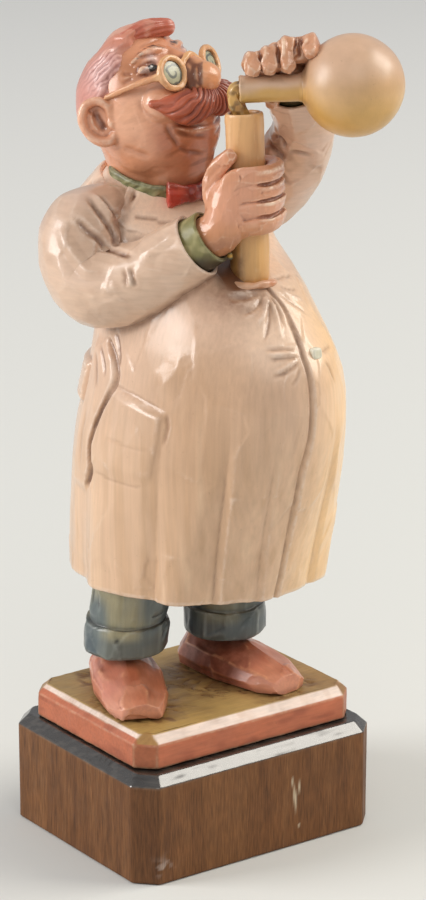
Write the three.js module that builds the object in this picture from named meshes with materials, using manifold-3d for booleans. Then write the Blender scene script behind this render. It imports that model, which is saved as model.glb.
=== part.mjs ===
// A carved and painted wooden chemist, pouring from a round flask into a measuring tube,
// doweled to a small plinth that is screwed to a walnut block.
// Millimetres, +Z up. The origin is the centre of the block's underside. The figure looks along -Y,
// so its right hand is on the -X side.
import * as THREE from 'three';
import { mergeVertices } from 'three/addons/utils/BufferGeometryUtils.js';
import Module from 'manifold-3d';

const wasm = await Module();
wasm.setup();

const seam = 0.3; // clearance left at every glued joint
const cutMargin = 1; // how far a cut runs past the face that it opens

// How finely round forms are cut: sides, and levels from end to end
const facets = {
  coat: 32, coatLevels: 12, hem: 20, skull: 20, skullLevels: 10, neck: 16, ball: 10, sleeve: 12, wrist: 10,
  finger: 6, trouser: 16, tube: 20, room: 16, flask: 20, flaskLevels: 10, cuff: 16, collar: 20, rim: 16,
  dowel: 12, screw: 14, button: 12, collarLevels: 14, wire: 6, moustache: 8, stream: 8, hairLock: 12,
};

// Walnut block
const baseWidth = 75;
const baseDepth = 62.5;
const baseHeight = 28.8;
const baseCorner = 5.1;
const baseBevel = 2.6;

// Wood screws that hold the plinth from below
const screwMargin = 14.5; // from the block's ends
const screwShank = 3.6;
const screwHead = 7.2;
const screwHeadHeight = 2.4;
const screwBite = 5.5; // length in the plinth
const screwRecess = 0.8; // head below the underside

// Plinth of the figure
const plinthWidth = 67.8;
const plinthDepth = 52.7;
const plinthThickness = 8.7;
const plinthCorner = 4.3;
const plinthBevel = 2.4;

// Shoes: rows run from the heel to the toe, reach is measured forward from the leg's axis
const ankleHeight = 10.4;
const shoeRows = [
  { reach: -12, half: 5.6, height: 8.2 },
  { reach: -9.5, half: 7.8, height: 10 },
  { reach: -2, half: 9, height: ankleHeight },
  { reach: 6, half: 9.4, height: 9.6 },
  { reach: 14, half: 9, height: 7.6 },
  { reach: 20, half: 7.6, height: 6.4 },
  { reach: 25, half: 5.2, height: 4.6 },
];
const rightFoot = { side: -16.4, back: 7.5, splay: 24, legLean: 3.8 };
const leftFoot = { side: 12.8, back: 3.6, splay: 8, legLean: 0.5 };

// Trouser legs with turned-up cuffs; each leg's top leans inwards from its foot
const trouserRadius = 10.1;
const turnUpHeight = 8;
const turnUpThickness = 1;
const turnUpTaper = 0.7;

// Dowels
const legDowel = 3; // radii
const legDowelSink = 5; // into the plinth
const legDowelRise = 12; // into the coat
const shoulderDowel = 2.5;
const shoulderDowelLength = 16;
const neckDowel = 3;
const neckDowelLength = 22;

// Coat: rows run from the hem upwards. front and back are measured from the block's centre,
// half is the half width and middle is where the section is widest.
const hemHeight = 33.2; // above the plinth
const hemRecess = 5;
const hemLip = 3.2;
const hemTaper = 2;
const coatRows = [
  { rise: 0, front: 34.5, back: 30, half: 32, middle: -1 },
  { rise: 18, front: 40.5, back: 30.5, half: 31.8, middle: -2 },
  { rise: 37, front: 47.5, back: 30, half: 30.6, middle: -3 },
  { rise: 51, front: 50.5, back: 27, half: 28, middle: -4 },
  { rise: 63, front: 48.5, back: 25, half: 25.5, middle: -3 },
  { rise: 74, front: 38.5, back: 25.5, half: 23.5, middle: 0 },
  { rise: 84, front: 24, back: 27, half: 23.5, middle: 4 },
  { rise: 94, front: 7, back: 28, half: 23, middle: 10 },
  { rise: 101, front: -2.5, back: 25.5, half: 14.5, middle: 13 },
];
const neckSlope = 0.2; // fall of the coat's top edge towards the front
const neckSlopeStart = 80;
const foldDepth = 0.9;
const foldCount = 9;
const foldRise = 44;
const foldPhase = 35;
const flapStep = 0.8; // the left front lies over the right
const flapAngle = 3;
const flapFade = 80;
const flapEdge = 2.75; // width of the step
const flapEnd = 18; // below the top edge
const flapBlend = 6;

// Pocket, back belt and the tab that hangs from it, as raised patches on the coat
const pocket = { from: -93, to: -64, bottom: 31, top: 53.5, thickness: 1 };
const pocketSlant = 2.5;
const backBelt = { from: 113, to: 247, bottom: 46, top: 56, thickness: 1.8 };
const beltTab = { from: -110, to: -97, bottom: 25, top: 62, thickness: 0.9 };
const patchRoot = 1.2; // sunk in the coat
const patchStepTurn = 13;
const patchStepRise = 8;

// Coat collar round the neck
const collarInner = 13.6;
const collarFall = 8.5;
const collarSpread = 6.4;
const collarThickness = 1.8;
const collarEdge = 1; // slant of its lower edge
const collarOpening = 44;
const collarDrop = 5.5;
const collarStand = 1.5; // above the coat's top edge
const collarRoot = 5; // sunk in the coat
const collarEndRoom = 4; // degrees

// Coat button
const buttonRadius = 1.7;
const buttonHeight = 1.3;
const buttonRise = 66.5;
const buttonAngle = 7;
const buttonBevel = 0.3;
const buttonSink = 2;

// Measuring tube, leaning back a little, with its foot in the fold above the belly
const tubeRadius = 4.8;
const tubeLength = 43.5;
const tubeWall = 1.1;
const tubeBoreDepth = 8;
const tubeFootBevel = 0.6;
const tubeRimBevel = 0.4;
const tubeLean = 4.2;
const tubeReach = 25.2; // in front of the block's centre
const tubeFootRise = 78.6;
const tubeLipRadius = 1.5;
const tubeLipProud = 0.6;
const tubeLipTurns = [-75, -35, 0, 35, 75];

// Flask, its mouth over the tube
const flaskRadius = 12.6;
const flaskNeckRadius = 3.35;
const flaskNeckLength = 15.5;
const flaskMouthDepth = 4;
const flaskMouthPoint = 1; // drill point at the bottom of the mouth
const flaskWall = 0.9;
const flaskTurn = 35; // towards the figure's left
const flaskTilt = 2;
const pourGap = 2.2; // between the tube's rim and the flask's neck
const streamRadius = 1.7;
const streamDepth = 4;
const streamFall = 1.1; // how far it leaves the mouth, in its own radii
const streamSwell = 1.15;

// Sleeves: shoulder places are measured from the hem, elbows from the shoulder
const shoulderDowelStart = 13; // from the middle of the coat
const shoulderBack = 12.5;
const rightSleeve = {
  dowelDrop: 2.5, // below the shoulder's middle
  inner: { side: -12, forward: -13, rise: 90.5, radius: 9.6 },
  shoulder: { side: -25, forward: -11, rise: 88, radius: 11.2 },
  elbow: { side: -26.9, forward: -3, rise: 78, radius: 10.9 },
  forearm: { side: -21, forward: 9, rise: 80.5, radius: 10 },
  cuffRadius: 8.9,
};
const leftSleeve = {
  dowelDrop: 3.5,
  inner: { side: 12, forward: -13, rise: 90.5, radius: 9.6 },
  shoulder: { side: 25, forward: -8, rise: 92.5, radius: 10.6 },
  elbow: { side: 27.8, forward: 3, rise: 102, radius: 9.3 },
  forearm: { side: 26.6, forward: 11, rise: 113, radius: 7.9 },
  cuffRadius: 7.6,
};
const cuffWall = 1.2;
const cuffShow = 5; // shirt cuff beyond the sleeve
const cuffSink = 4; // shirt cuff inside the sleeve
const cuffInset = 1.1; // sleeve's edge outside the shirt cuff
const sleeveFloor = 1.5; // whole part of the sleeve behind the shirt cuff

// Hands. Right fingers go round the tube: turn is measured from the near side of its front, out from its
// surface. Left fingers go over the flask's neck: tops and tips are heights above its axis.
const fingerRadius = 2.1;
const knuckleRadius = 2.6;
const fingerSpacing = 3.9;
const gripHeight = 24.2; // along the tube to the middle of the right hand
const gripTurn = -25; // near side, from straight ahead
const rightWrist = { side: -12.8, forward: 20.6, along: 11.8 };
const rightFinger = [
  { turn: -35, drop: 1.6, out: 1.4, radius: knuckleRadius },
  { turn: 25, drop: 0.5, out: 0.8, radius: knuckleRadius * 0.9 },
  { turn: 95, drop: 0, out: 0, radius: fingerRadius },
  { turn: 155, drop: -0.5, out: 0, radius: fingerRadius * 0.92 },
];
const rightThumb = [
  { turn: -78, drop: -2, out: 1.6, radius: knuckleRadius * 1.1 },
  { turn: -72, drop: -6.6, out: 0.8, radius: knuckleRadius * 0.95 },
  { turn: -46, drop: -9.8, out: 0, radius: fingerRadius },
];
const leftWrist = { along: 13.2, behind: 9, below: 0.6 };
const leftPalm = { along: 9.5, above: 4, behind: 4 };
const leftFingers = [
  { along: 3.4, top: 6.8, tip: 5.5 },
  { along: 7.5, top: 8.2, tip: 5.7 },
  { along: 11.9, top: 10.2, tip: 6 },
  { along: 17.6, top: 10.8, tip: 9.4 },
];
const leftThumb = { along: 7, bend: 5.4 };
const palmReach = 3; // beyond the shirt cuff
const palmShare = 0.45; // how far the fingers' roots spread over the palm
const backTurn = -48;
const backShare = 0.92;
const knuckleShare = 0.65;
const fingerMesh = { around: facets.finger, steps: 2, roundEnd: true };
const wristMesh = { around: facets.wrist, steps: 2, roundEnd: true };

// Head: rows run from the chin to the crown in the head's own frame, which looks along -Y
const headSide = -2.4;
const headBack = 16.2;
const headRise = 120.2;
const headTurn = 20;
const headTilt = 22;
const headRows = [
  { rise: -20, front: 11, back: 9, half: 10, middle: 0 },
  { rise: -16, front: 14.6, back: 11, half: 13, middle: 0 },
  { rise: -9, front: 17, back: 14, half: 15, middle: 0 },
  { rise: -2, front: 16.6, back: 16.8, half: 15.2, middle: 0 },
  { rise: 5, front: 13.6, back: 15, half: 13.6, middle: 0 },
  { rise: 10, front: 10.8, back: 10, half: 11, middle: 0 },
  { rise: 14, front: 8.4, back: 4, half: 7.2, middle: -2 },
  { rise: 15.8, front: 6.4, back: 0.4, half: 4.2, middle: -3 },
  { rise: 16.3, front: 4.5, back: -2.4, half: 1.2, middle: -3.4 },
];
const neckRadius = 11.6;
const neckBack = 13.5;
const neckFootRise = 92.5;
const noseRadius = 4.7;
const noseReach = 18.3;
const noseDrop = 0.8;
const cheekRadius = 5.8;
const cheekSpread = 8.6;
const cheekReach = 10.4;
const cheekDrop = 4.4;
const earSpread = 15.2;
const earBack = 5.6;
const earDrop = 3.2;
const earHeight = 7.2;
const earWidth = 4.9;
const earThickness = 2.2;
const earTurn = 22; // the ears stand off towards the back

// Hair: a cap above a sloping hairline, with a lock that lies along the top to the forehead
const hairThickness = 1.7;
const hairlineRise = 3.5;
const hairlineSlope = 38;
const hairlineCut = 80; // wider than the head
const hairLock = [
  { side: -6.2, reach: 4, rise: 14.8, radius: 2 },
  { side: -2, reach: 8, rise: 15.2, radius: 2.7 },
  { side: 2.2, reach: 10.6, rise: 14.3, radius: 2.4 },
];

// Moustache: stops run from the middle to a tip, side as a share of its half width
const moustacheStops = [
  { side: 0, back: 0, lift: 0.8, girth: 0.8 },
  { side: 0.52, back: 1.2, lift: 0.4, girth: 0.95 },
  { side: 1, back: 5.4, lift: 3.6, girth: 0.3 },
];
const moustacheReach = 17.4;
const moustacheDrop = 6.8;
const moustacheHalf = 14.8;
const moustacheRadius = 4.8;

// Spectacles, low on the nose
const rimRadius = 3.9; // middle of the rim
const rimThickness = 1.5;
const rimDepth = 1.6;
const rimSpread = 8.2;
const rimReach = 15.8;
const rimRise = 2.6;
const rimWrap = 11;
const lensThickness = 1;
const templeRadius = 0.75;
const templeRoot = 0.8; // behind the middle of the rim
const templeBow = 2.4; // outwards between the rim and the ear
const templeDrop = 2; // below the top of the ear
const bridgeRadius = 0.85;
const bridgeRise = 3.4;
const bridgeFoot = 0.6; // its ends above the middle of the rims

// Shirt collar and bow tie
const shirtCollarThickness = 1.3;
const shirtCollarHeight = 8;
const shirtCollarRise = 94.5;
const shirtCollarTilt = 12; // front down
const tieHalf = 6.8;
const tieHeight = 7.2;
const tieThickness = 3.6;
const tieKnot = 2.4;
const tieShare = 0.85; // its height on the collar

// Worked-out levels
const plinthFoot = baseHeight + seam;
const plinthTop = plinthFoot + plinthThickness;
const soleLevel = plinthTop + seam;
const trouserFoot = soleLevel + ankleHeight + seam;
const hemLevel = plinthTop + hemHeight;
const coatCeiling = hemLevel + hemRecess;
const trouserTop = coatCeiling - seam;

const radians = THREE.MathUtils.degToRad;
const smoothstep = THREE.MathUtils.smoothstep;
const shares = (count) => Array.from({ length: count + 1 }, (_, i) => i / count);
const turnsRound = (count) => shares(count).slice(0, count).map((share) => 360 * share);
const vec = (x, y, z) => new THREE.Vector3(x, y, z);
const fromHem = (stop) => vec(stop.side, -stop.forward, hemLevel + stop.rise);

// Solids

function signedVolume(geometry) {
  const position = geometry.attributes.position;
  const index = geometry.index;
  const a = vec(0, 0, 0);
  const b = vec(0, 0, 0);
  const c = vec(0, 0, 0);
  let total = 0;
  for (let i = 0; i < index.count; i += 3) {
    a.fromBufferAttribute(position, index.getX(i));
    b.fromBufferAttribute(position, index.getX(i + 1));
    c.fromBufferAttribute(position, index.getX(i + 2));
    total += a.dot(b.cross(c)) / 6;
  }
  return total;
}

// A solid from a closed geometry, optionally placed by a matrix.
function solid(geometry, matrix) {
  const bare = geometry.clone();
  bare.deleteAttribute('normal');
  bare.deleteAttribute('uv');
  if (matrix) {
    bare.applyMatrix4(matrix);
  }
  const merged = mergeVertices(bare, 1e-4);
  const outward = signedVolume(merged) > 0;
  const corners = merged.index.array;
  const triangles = [];
  for (let i = 0; i < corners.length; i += 3) {
    const [a, b, c] = corners.slice(i, i + 3);
    if (a !== b && b !== c && c !== a) {
      triangles.push(...(outward ? [a, b, c] : [a, c, b]));
    }
  }
  return new wasm.Manifold(new wasm.Mesh({
    numProp: 3,
    vertProperties: Float32Array.from(merged.attributes.position.array),
    triVerts: Uint32Array.from(triangles),
  }));
}

const join = (...solids) => solids.reduce((whole, next) => whole.add(next));
const cut = (body, ...tools) => tools.reduce((rest, tool) => rest.subtract(tool), body);

// The main body of a cut solid, without the slivers that a cut can leave beside it.
function mainBody(whole) {
  return whole.decompose().reduce((best, next) => (next.volume() > best.volume() ? next : best));
}

function geometryOf(whole) {
  const { vertProperties, triVerts } = whole.getMesh();
  const geometry = new THREE.BufferGeometry();
  geometry.setAttribute('position', new THREE.BufferAttribute(Float32Array.from(vertProperties), 3));
  geometry.setIndex(new THREE.BufferAttribute(Uint32Array.from(triVerts), 1));
  geometry.computeVertexNormals();
  return geometry;
}

// Forms

const domeAngles = [38, 74]; // rings of a rounded end

// A closed skin through rings of equal count, shut by a fan at each end.
function skin(rings) {
  const around = rings[0].length;
  const points = rings.flat();
  const index = [];
  for (let j = 0; j + 1 < rings.length; j += 1) {
    for (let i = 0; i < around; i += 1) {
      const a = j * around + i;
      const b = j * around + ((i + 1) % around);
      index.push(a, b, b + around, a, b + around, a + around);
    }
  }
  const last = (rings.length - 1) * around;
  for (const [start, turned] of [[0, true], [last, false]]) {
    const ring = points.slice(start, start + around);
    const centre = ring.reduce((sum, p) => sum.add(p), vec(0, 0, 0)).divideScalar(around);
    points.push(centre);
    for (let i = 0; i < around; i += 1) {
      const a = start + i;
      const b = start + ((i + 1) % around);
      index.push(...(turned ? [b, a, points.length - 1] : [a, b, points.length - 1]));
    }
  }
  const geometry = new THREE.BufferGeometry();
  geometry.setAttribute('position', new THREE.Float32BufferAttribute(points.flatMap((p) => p.toArray()), 3));
  geometry.setIndex(index);
  return geometry;
}

function circle(centre, normal, side, radius, around) {
  const other = normal.clone().cross(side);
  return Array.from({ length: around }, (_, i) => {
    const angle = (2 * Math.PI * i) / around;
    return centre.clone()
      .addScaledVector(side, radius * Math.cos(angle))
      .addScaledVector(other, radius * Math.sin(angle));
  });
}

// A round limb through stops, each with a place and a radius; grow thickens it for clearance.
function limb(stops, { around = 12, steps = 3, grow = 0, roundStart = false, roundEnd = false } = {}) {
  const path = new THREE.CatmullRomCurve3(stops.map((stop) => stop.at));
  const girth = new THREE.SplineCurve(stops.map((stop, i) => new THREE.Vector2(i, stop.radius)));
  const count = (stops.length - 1) * steps;
  const frames = [];
  let side = vec(0, 0, 0);
  for (let k = 0; k <= count; k += 1) {
    const t = k / count;
    const tangent = path.getTangent(t);
    if (k === 0) {
      side.crossVectors(tangent, Math.abs(tangent.z) < 0.9 ? vec(0, 0, 1) : vec(0, 1, 0));
    }
    side = side.clone().addScaledVector(tangent, -side.dot(tangent)).normalize();
    frames.push({ centre: path.getPoint(t), tangent, side, radius: girth.getPoint(t).y + grow });
  }
  const ring = ({ centre, tangent, side: across, radius }, shift, share) => circle(
    centre.clone().addScaledVector(tangent, shift), tangent, across, radius * share, around,
  );
  const endRings = (frame, direction, rounded) => {
    if (rounded) {
      return domeAngles.map((angle) => (
        ring(frame, direction * frame.radius * Math.sin(radians(angle)), Math.cos(radians(angle)))
      ));
    }
    return grow > 0 ? [ring(frame, direction * grow, 1)] : [];
  };
  return skin([
    ...endRings(frames[0], -1, roundStart).reverse(),
    ...frames.map((frame) => ring(frame, 0, 1)),
    ...endRings(frames[count], 1, roundEnd),
  ]);
}

function ball(centre, radii, grow = 0) {
  const geometry = new THREE.SphereGeometry(1, facets.ball, Math.round((facets.ball * 2) / 3));
  geometry.scale(radii.x + grow, radii.y + grow, radii.z + grow);
  return geometry.translate(centre.x, centre.y, centre.z);
}

// A turned form: its profile runs from the axis to the axis, as [radius, height] pairs.
function turned(profile, around) {
  const points = profile.map(([radius, height]) => new THREE.Vector2(radius, height));
  return new THREE.LatheGeometry(points, around).rotateX(Math.PI / 2);
}

function rod(radius, from, to, around = facets.dowel) {
  return turned([[0, from], [radius, from], [radius, to], [0, to]], around);
}

// One column of a table of rows, read between the rows by a cubic.
function readRows(rows, place, key, column) {
  let i = 0;
  while (i + 2 < rows.length && rows[i + 1][key] < place) {
    i += 1;
  }
  const [a, b] = [rows[i], rows[i + 1]];
  const before = rows[Math.max(i - 1, 0)];
  const after = rows[Math.min(i + 2, rows.length - 1)];
  const span = b[key] - a[key];
  const t = (place - a[key]) / span;
  const startSlope = ((b[column] - before[column]) / (b[key] - before[key])) * span;
  const endSlope = ((after[column] - a[column]) / (after[key] - a[key])) * span;
  const bend = 3 * (b[column] - a[column]) - 2 * startSlope - endSlope;
  const twist = startSlope + endSlope - 2 * (b[column] - a[column]);
  return a[column] + t * (startSlope + t * (bend + t * twist));
}

// A point on an egg-shaped section read from rows; angle 0 is the front and 90 the figure's left.
function eggPoint(rows, angle, rise, grow) {
  const [front, back, half, middle] = ['front', 'back', 'half', 'middle']
    .map((column) => readRows(rows, rise, 'rise', column));
  const forward = Math.cos(angle);
  const depth = forward > 0 ? front + middle : back - middle;
  return vec((half + grow) * Math.sin(angle), middle - (depth + grow) * forward, rise);
}

// Block, screws and plinth

function chamferedRing(width, depth, corner, level) {
  const x = width / 2;
  const y = depth / 2;
  const quarter = [[x, y - corner], [x - corner, y]];
  const half = [...quarter, ...quarter.map(([a, b]) => [-a, b]).reverse()];
  return [...half, ...half.map(([a, b]) => [-a, -b])].map(([a, b]) => vec(a, b, level));
}

function slab(width, depth, corner, bevel, bottom, top) {
  const innerCorner = corner - bevel * (2 - Math.SQRT2);
  return skin([
    chamferedRing(width, depth, corner, bottom),
    chamferedRing(width, depth, corner, top - bevel),
    chamferedRing(width - 2 * bevel, depth - 2 * bevel, innerCorner, top),
  ]);
}

// A countersunk screw, or with grow the hole that it goes through.
function screwForm(grow) {
  const foot = grow > 0 ? -cutMargin : screwRecess;
  const neck = screwRecess + screwHeadHeight + grow;
  const tip = plinthFoot + screwBite + grow;
  const shank = screwShank / 2 + grow;
  const head = screwHead / 2 + grow;
  return turned([
    [0, foot], [head, foot], [head, screwRecess + grow], [shank, neck], [shank, tip - shank], [0, tip],
  ], facets.screw);
}

const screwSide = baseWidth / 2 - screwMargin;
const screwPlaces = { base_screw_right: -screwSide, base_screw_left: screwSide };
const screwHoles = Object.values(screwPlaces)
  .map((x) => solid(screwForm(seam), new THREE.Matrix4().makeTranslation(x, 0, 0)));

// Legs

const feet = { right: rightFoot, left: leftFoot };

function legDowelForm(foot, grow) {
  const form = rod(legDowel + grow, plinthTop - legDowelSink - grow, coatCeiling + legDowelRise + grow);
  return form.translate(foot.side, foot.back, 0);
}

// A shoe on its sole, toe along -Y, with the flat cuts of a carving knife.
function shoeForm() {
  const outline = [
    [-0.92, 0], [0.92, 0], [1, 0.3], [0.86, 0.64], [0.12, 1], [-0.12, 1], [-0.86, 0.64], [-1, 0.3],
  ];
  return skin(shoeRows.map((row) => outline.map(([x, z]) => vec(x * row.half, -row.reach, z * row.height))));
}

function trouserForm(foot, grow) {
  const cuff = trouserRadius + turnUpThickness;
  const inwards = -Math.sign(foot.side) * foot.legLean;
  const stations = [
    [trouserFoot, cuff - turnUpTaper],
    [trouserFoot + turnUpTaper, cuff],
    [trouserFoot + turnUpHeight - turnUpThickness, cuff],
    [trouserFoot + turnUpHeight, trouserRadius],
    [trouserTop, trouserRadius],
  ];
  return skin(stations.map(([level, radius]) => {
    const share = (level - trouserFoot) / (trouserTop - trouserFoot);
    const centre = vec(foot.side + inwards * share, foot.back, level);
    return circle(centre, vec(0, 0, 1), vec(1, 0, 0), radius + grow, facets.trouser);
  }));
}

// Coat

// A point on the coat: its section, the folds above the hem and the step where the fronts overlap.
function coatPoint(degreesRound, rise, grow = 0) {
  const top = coatRows.at(-1).rise;
  const angle = radians(degreesRound);
  const wave = Math.cos(foldCount * angle + radians(foldPhase));
  const folds = foldDepth * (1 - smoothstep(rise, 0, foldRise)) * wave;
  const past = THREE.MathUtils.euclideanModulo(degreesRound - flapAngle, 360);
  const flapHeight = past > 0 ? flapStep * smoothstep(top - flapEnd - rise, 0, flapBlend) : 0;
  const flap = flapHeight * (1 - smoothstep(past, 0, flapFade));
  const point = eggPoint(coatRows, angle, rise, grow + folds + flap);
  const slope = neckSlope * smoothstep(rise, neckSlopeStart, top) * (neckBack - point.y);
  return point.setZ(hemLevel + rise - slope);
}

function coatForm(grow) {
  const top = coatRows.at(-1).rise;
  const turns = turnsRound(facets.coat).map((turn, i) => flapAngle + (i === 1 ? flapEdge : turn));
  const rings = shares(facets.coatLevels)
    .map((share) => turns.map((turn) => coatPoint(turn, top * share, grow)));
  if (grow > 0) {
    rings.unshift(rings[0].map((p) => p.clone().setZ(p.z - grow)));
    rings.push(rings.at(-1).map((p) => p.clone().setZ(p.z + grow)));
  }
  return skin(rings);
}

// A raised patch that follows the coat between two angles and two rises; slant lowers its front top corner.
function coatPatch({ from, to, bottom, top, thickness }, slant = 0) {
  const columns = Math.max(3, Math.round(Math.abs(to - from) / patchStepTurn));
  const rows = Math.max(3, Math.round((top - bottom) / patchStepRise));
  return skin(shares(rows).map((up) => {
    const edge = (grow) => shares(columns).map((across) => coatPoint(
      from + (to - from) * across, bottom + (top - slant * across - bottom) * up, grow,
    ));
    return [...edge(thickness), ...edge(-patchRoot).reverse()];
  }));
}

// The shallow hollow under the hem, which leaves a lip all round.
function hemRecessForm() {
  const ring = (rise, inset) => turnsRound(facets.hem).map((turn) => (
    eggPoint(coatRows, radians(turn), Math.max(rise, 0), -inset).setZ(hemLevel + rise)
  ));
  return skin([ring(-cutMargin, hemLip), ring(hemRecess, hemLip + hemTaper)]);
}

// The turned-down collar: a band that leans out from the neck and drops to the front on both sides.
function coatCollarForm(grow = 0) {
  const opening = collarOpening - (grow > 0 ? collarEndRoom : 0);
  return skin(shares(facets.collarLevels).map((share) => {
    const turn = radians(opening + (360 - 2 * opening) * share);
    const drop = collarDrop * (0.5 + 0.5 * Math.cos(turn));
    const out = vec(Math.sin(turn), -Math.cos(turn), 0);
    const foot = vec(headSide / 2, neckBack, hemLevel + coatRows.at(-1).rise + collarStand - drop);
    const corner = (spread, fall) => (
      foot.clone().addScaledVector(out, collarInner + spread).setZ(foot.z - fall)
    );
    return [
      corner(-grow, -grow),
      corner(collarThickness + grow, -grow),
      corner(collarSpread + collarThickness + grow, collarFall),
      corner(collarSpread, collarFall + collarEdge + grow),
      corner(-grow, collarRoot + grow),
    ];
  }));
}

// A round button with a bevelled edge, and its place on the left front.
function buttonForm() {
  const bevel = buttonRadius * buttonBevel;
  return turned([
    [0, -buttonSink], [buttonRadius, -buttonSink], [buttonRadius, buttonHeight - bevel],
    [buttonRadius - bevel, buttonHeight], [0, buttonHeight],
  ], facets.button);
}

function buttonPlace() {
  const place = coatPoint(buttonAngle, buttonRise);
  const aim = vec(place.x, place.y, 0).normalize();
  const turn = new THREE.Quaternion().setFromUnitVectors(vec(0, 0, 1), aim);
  return new THREE.Matrix4().makeRotationFromQuaternion(turn).setPosition(place);
}

// Tube and flask

const tubeFoot = vec(0, -tubeReach, hemLevel + tubeFootRise);
const tubeTurn = new THREE.Euler(-radians(tubeLean), 0, 0);
const tubeAxis = vec(0, 0, 1).applyEuler(tubeTurn);
const tubePlace = new THREE.Matrix4().makeRotationFromEuler(tubeTurn).setPosition(tubeFoot);
const onTube = (along) => tubeFoot.clone().addScaledVector(tubeAxis, along);

function tubeForm(grow = 0) {
  const outer = tubeRadius + grow;
  const bore = tubeRadius - tubeWall - grow;
  const rim = tubeLength + grow;
  const floor = tubeLength - tubeBoreDepth + grow;
  return turned([
    [0, -grow], [outer - tubeFootBevel, -grow], [outer, tubeFootBevel],
    [outer, rim - tubeRimBevel], [outer - tubeRimBevel, rim],
    [bore, rim], [bore, floor + bore], [bore * 0.7, floor + 0.3 * bore], [0, floor],
  ], facets.tube);
}

// The rolled edge of the fold that holds the tube's foot, round its front half.
function tubeLipForm() {
  const reach = tubeRadius + seam + tubeLipRadius * tubeLipProud;
  return limb(tubeLipTurns.map((turn) => {
    const out = vec(Math.sin(radians(turn)), -Math.cos(radians(turn)), 0);
    return { at: onTube(tubeLipRadius).addScaledVector(out, reach), radius: tubeLipRadius };
  }), { around: facets.wire, steps: 1, roundStart: true, roundEnd: true });
}

const tubeRoom = solid(rod(tubeRadius + seam, -seam, tubeLength + seam, facets.room), tubePlace);

const flaskTurnEuler = new THREE.Euler(0, radians(90 - flaskTilt), radians(-flaskTurn), 'ZYX');
const flaskAxis = vec(0, 0, 1).applyEuler(flaskTurnEuler);
const flaskMouth = onTube(tubeLength + pourGap + flaskNeckRadius).addScaledVector(flaskAxis, -flaskWall);
const flaskPlace = new THREE.Matrix4().makeRotationFromEuler(flaskTurnEuler).setPosition(flaskMouth);
const flaskBehind = vec(flaskAxis.y, -flaskAxis.x, 0).normalize().multiplyScalar(-1);
const flaskUp = flaskAxis.clone().cross(flaskBehind).normalize();
const flaskCentre = flaskNeckLength + Math.sqrt(flaskRadius ** 2 - flaskNeckRadius ** 2);

// A place beside the flask, from its mouth along the neck, above the axis and behind it.
function byFlask(along, above, behind) {
  return flaskMouth.clone()
    .addScaledVector(flaskAxis, along)
    .addScaledVector(flaskUp, above)
    .addScaledVector(flaskBehind, behind);
}

// The flask along its own axis from the mouth; with grow it is the room that it takes, open or not.
function flaskForm(grow = 0, open = true) {
  const neck = flaskNeckRadius + grow;
  const mouth = flaskNeckRadius - flaskWall - grow;
  const globe = flaskRadius + grow;
  const start = Math.asin(neck / globe);
  const arc = shares(facets.flaskLevels)
    .map((share) => start + (Math.PI - start) * share)
    .map((angle) => [globe * Math.sin(angle), flaskCentre - globe * Math.cos(angle)]);
  arc[arc.length - 1][0] = 0;
  const depth = flaskMouthDepth - grow;
  const bore = [[0, depth], [mouth, depth - flaskMouthPoint], [mouth, -grow]];
  const opening = [...(open ? bore : [[0, -grow]]), [neck, -grow]];
  return turned([...opening, ...arc], facets.flask);
}

// The poured stream: out of the flask's mouth, over its lip and down into the tube.
function streamForm(grow = 0) {
  const fall = flaskAxis.clone().multiplyScalar(-streamRadius * streamFall);
  return limb([
    { at: byFlask(flaskMouthDepth / 2, 0, 0), radius: streamRadius },
    { at: byFlask(0, 0, 0).addScaledVector(fall, 0.5), radius: streamRadius },
    { at: onTube(tubeLength + pourGap).add(fall), radius: streamRadius * streamSwell },
    { at: onTube(tubeLength).addScaledVector(fall, 0.5), radius: streamRadius * streamSwell },
    { at: onTube(tubeLength - streamDepth), radius: streamRadius },
  ], { around: facets.stream, steps: 2, grow, roundEnd: true });
}

// Arms

const rightWristPlace = onTube(rightWrist.along).setX(rightWrist.side).setY(-rightWrist.forward);
const leftWristPlace = byFlask(leftWrist.along, -leftWrist.below, leftWrist.behind);
const sleeves = {
  right: { ...rightSleeve, wrist: rightWristPlace },
  left: { ...leftSleeve, wrist: leftWristPlace },
};

const sleeveStops = (sleeve) => [
  ...[sleeve.inner, sleeve.shoulder, sleeve.elbow, sleeve.forearm]
    .map((stop) => ({ at: fromHem(stop), radius: stop.radius })),
  { at: sleeve.wrist, radius: sleeve.cuffRadius },
];

const sleeveForm = (sleeve, grow) => limb(sleeveStops(sleeve), { around: facets.sleeve, grow });

// The forearm's direction at the wrist.
const wristAim = (sleeve) => sleeve.wrist.clone().sub(fromHem(sleeve.forearm)).normalize();

const alongWrist = (sleeve, along) => sleeve.wrist.clone().addScaledVector(wristAim(sleeve), along);

function wristRod(sleeve, radius, from, to) {
  return limb([
    { at: alongWrist(sleeve, from), radius },
    { at: alongWrist(sleeve, to), radius },
  ], { around: facets.cuff, steps: 1 });
}

// The part of a hand inside its cuff.
const wristStops = (sleeve) => [-cuffSink, cuffShow / 2]
  .map((along) => ({ at: alongWrist(sleeve, along), radius: wristRadius(sleeve) }));

const cuffOuter = (sleeve) => sleeve.cuffRadius - cuffInset - seam;
const wristRadius = (sleeve) => cuffOuter(sleeve) - cuffWall - seam;

// The end of a sleeve and its shirt cuff, which the coat makes way for.
const sleeveEnd = (sleeve, grow) => join(
  solid(wristRod(sleeve, sleeve.cuffRadius + grow, -cuffSink - sleeveFloor - grow, grow)),
  solid(wristRod(sleeve, cuffOuter(sleeve) + grow, -grow, cuffShow + grow)),
);

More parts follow.
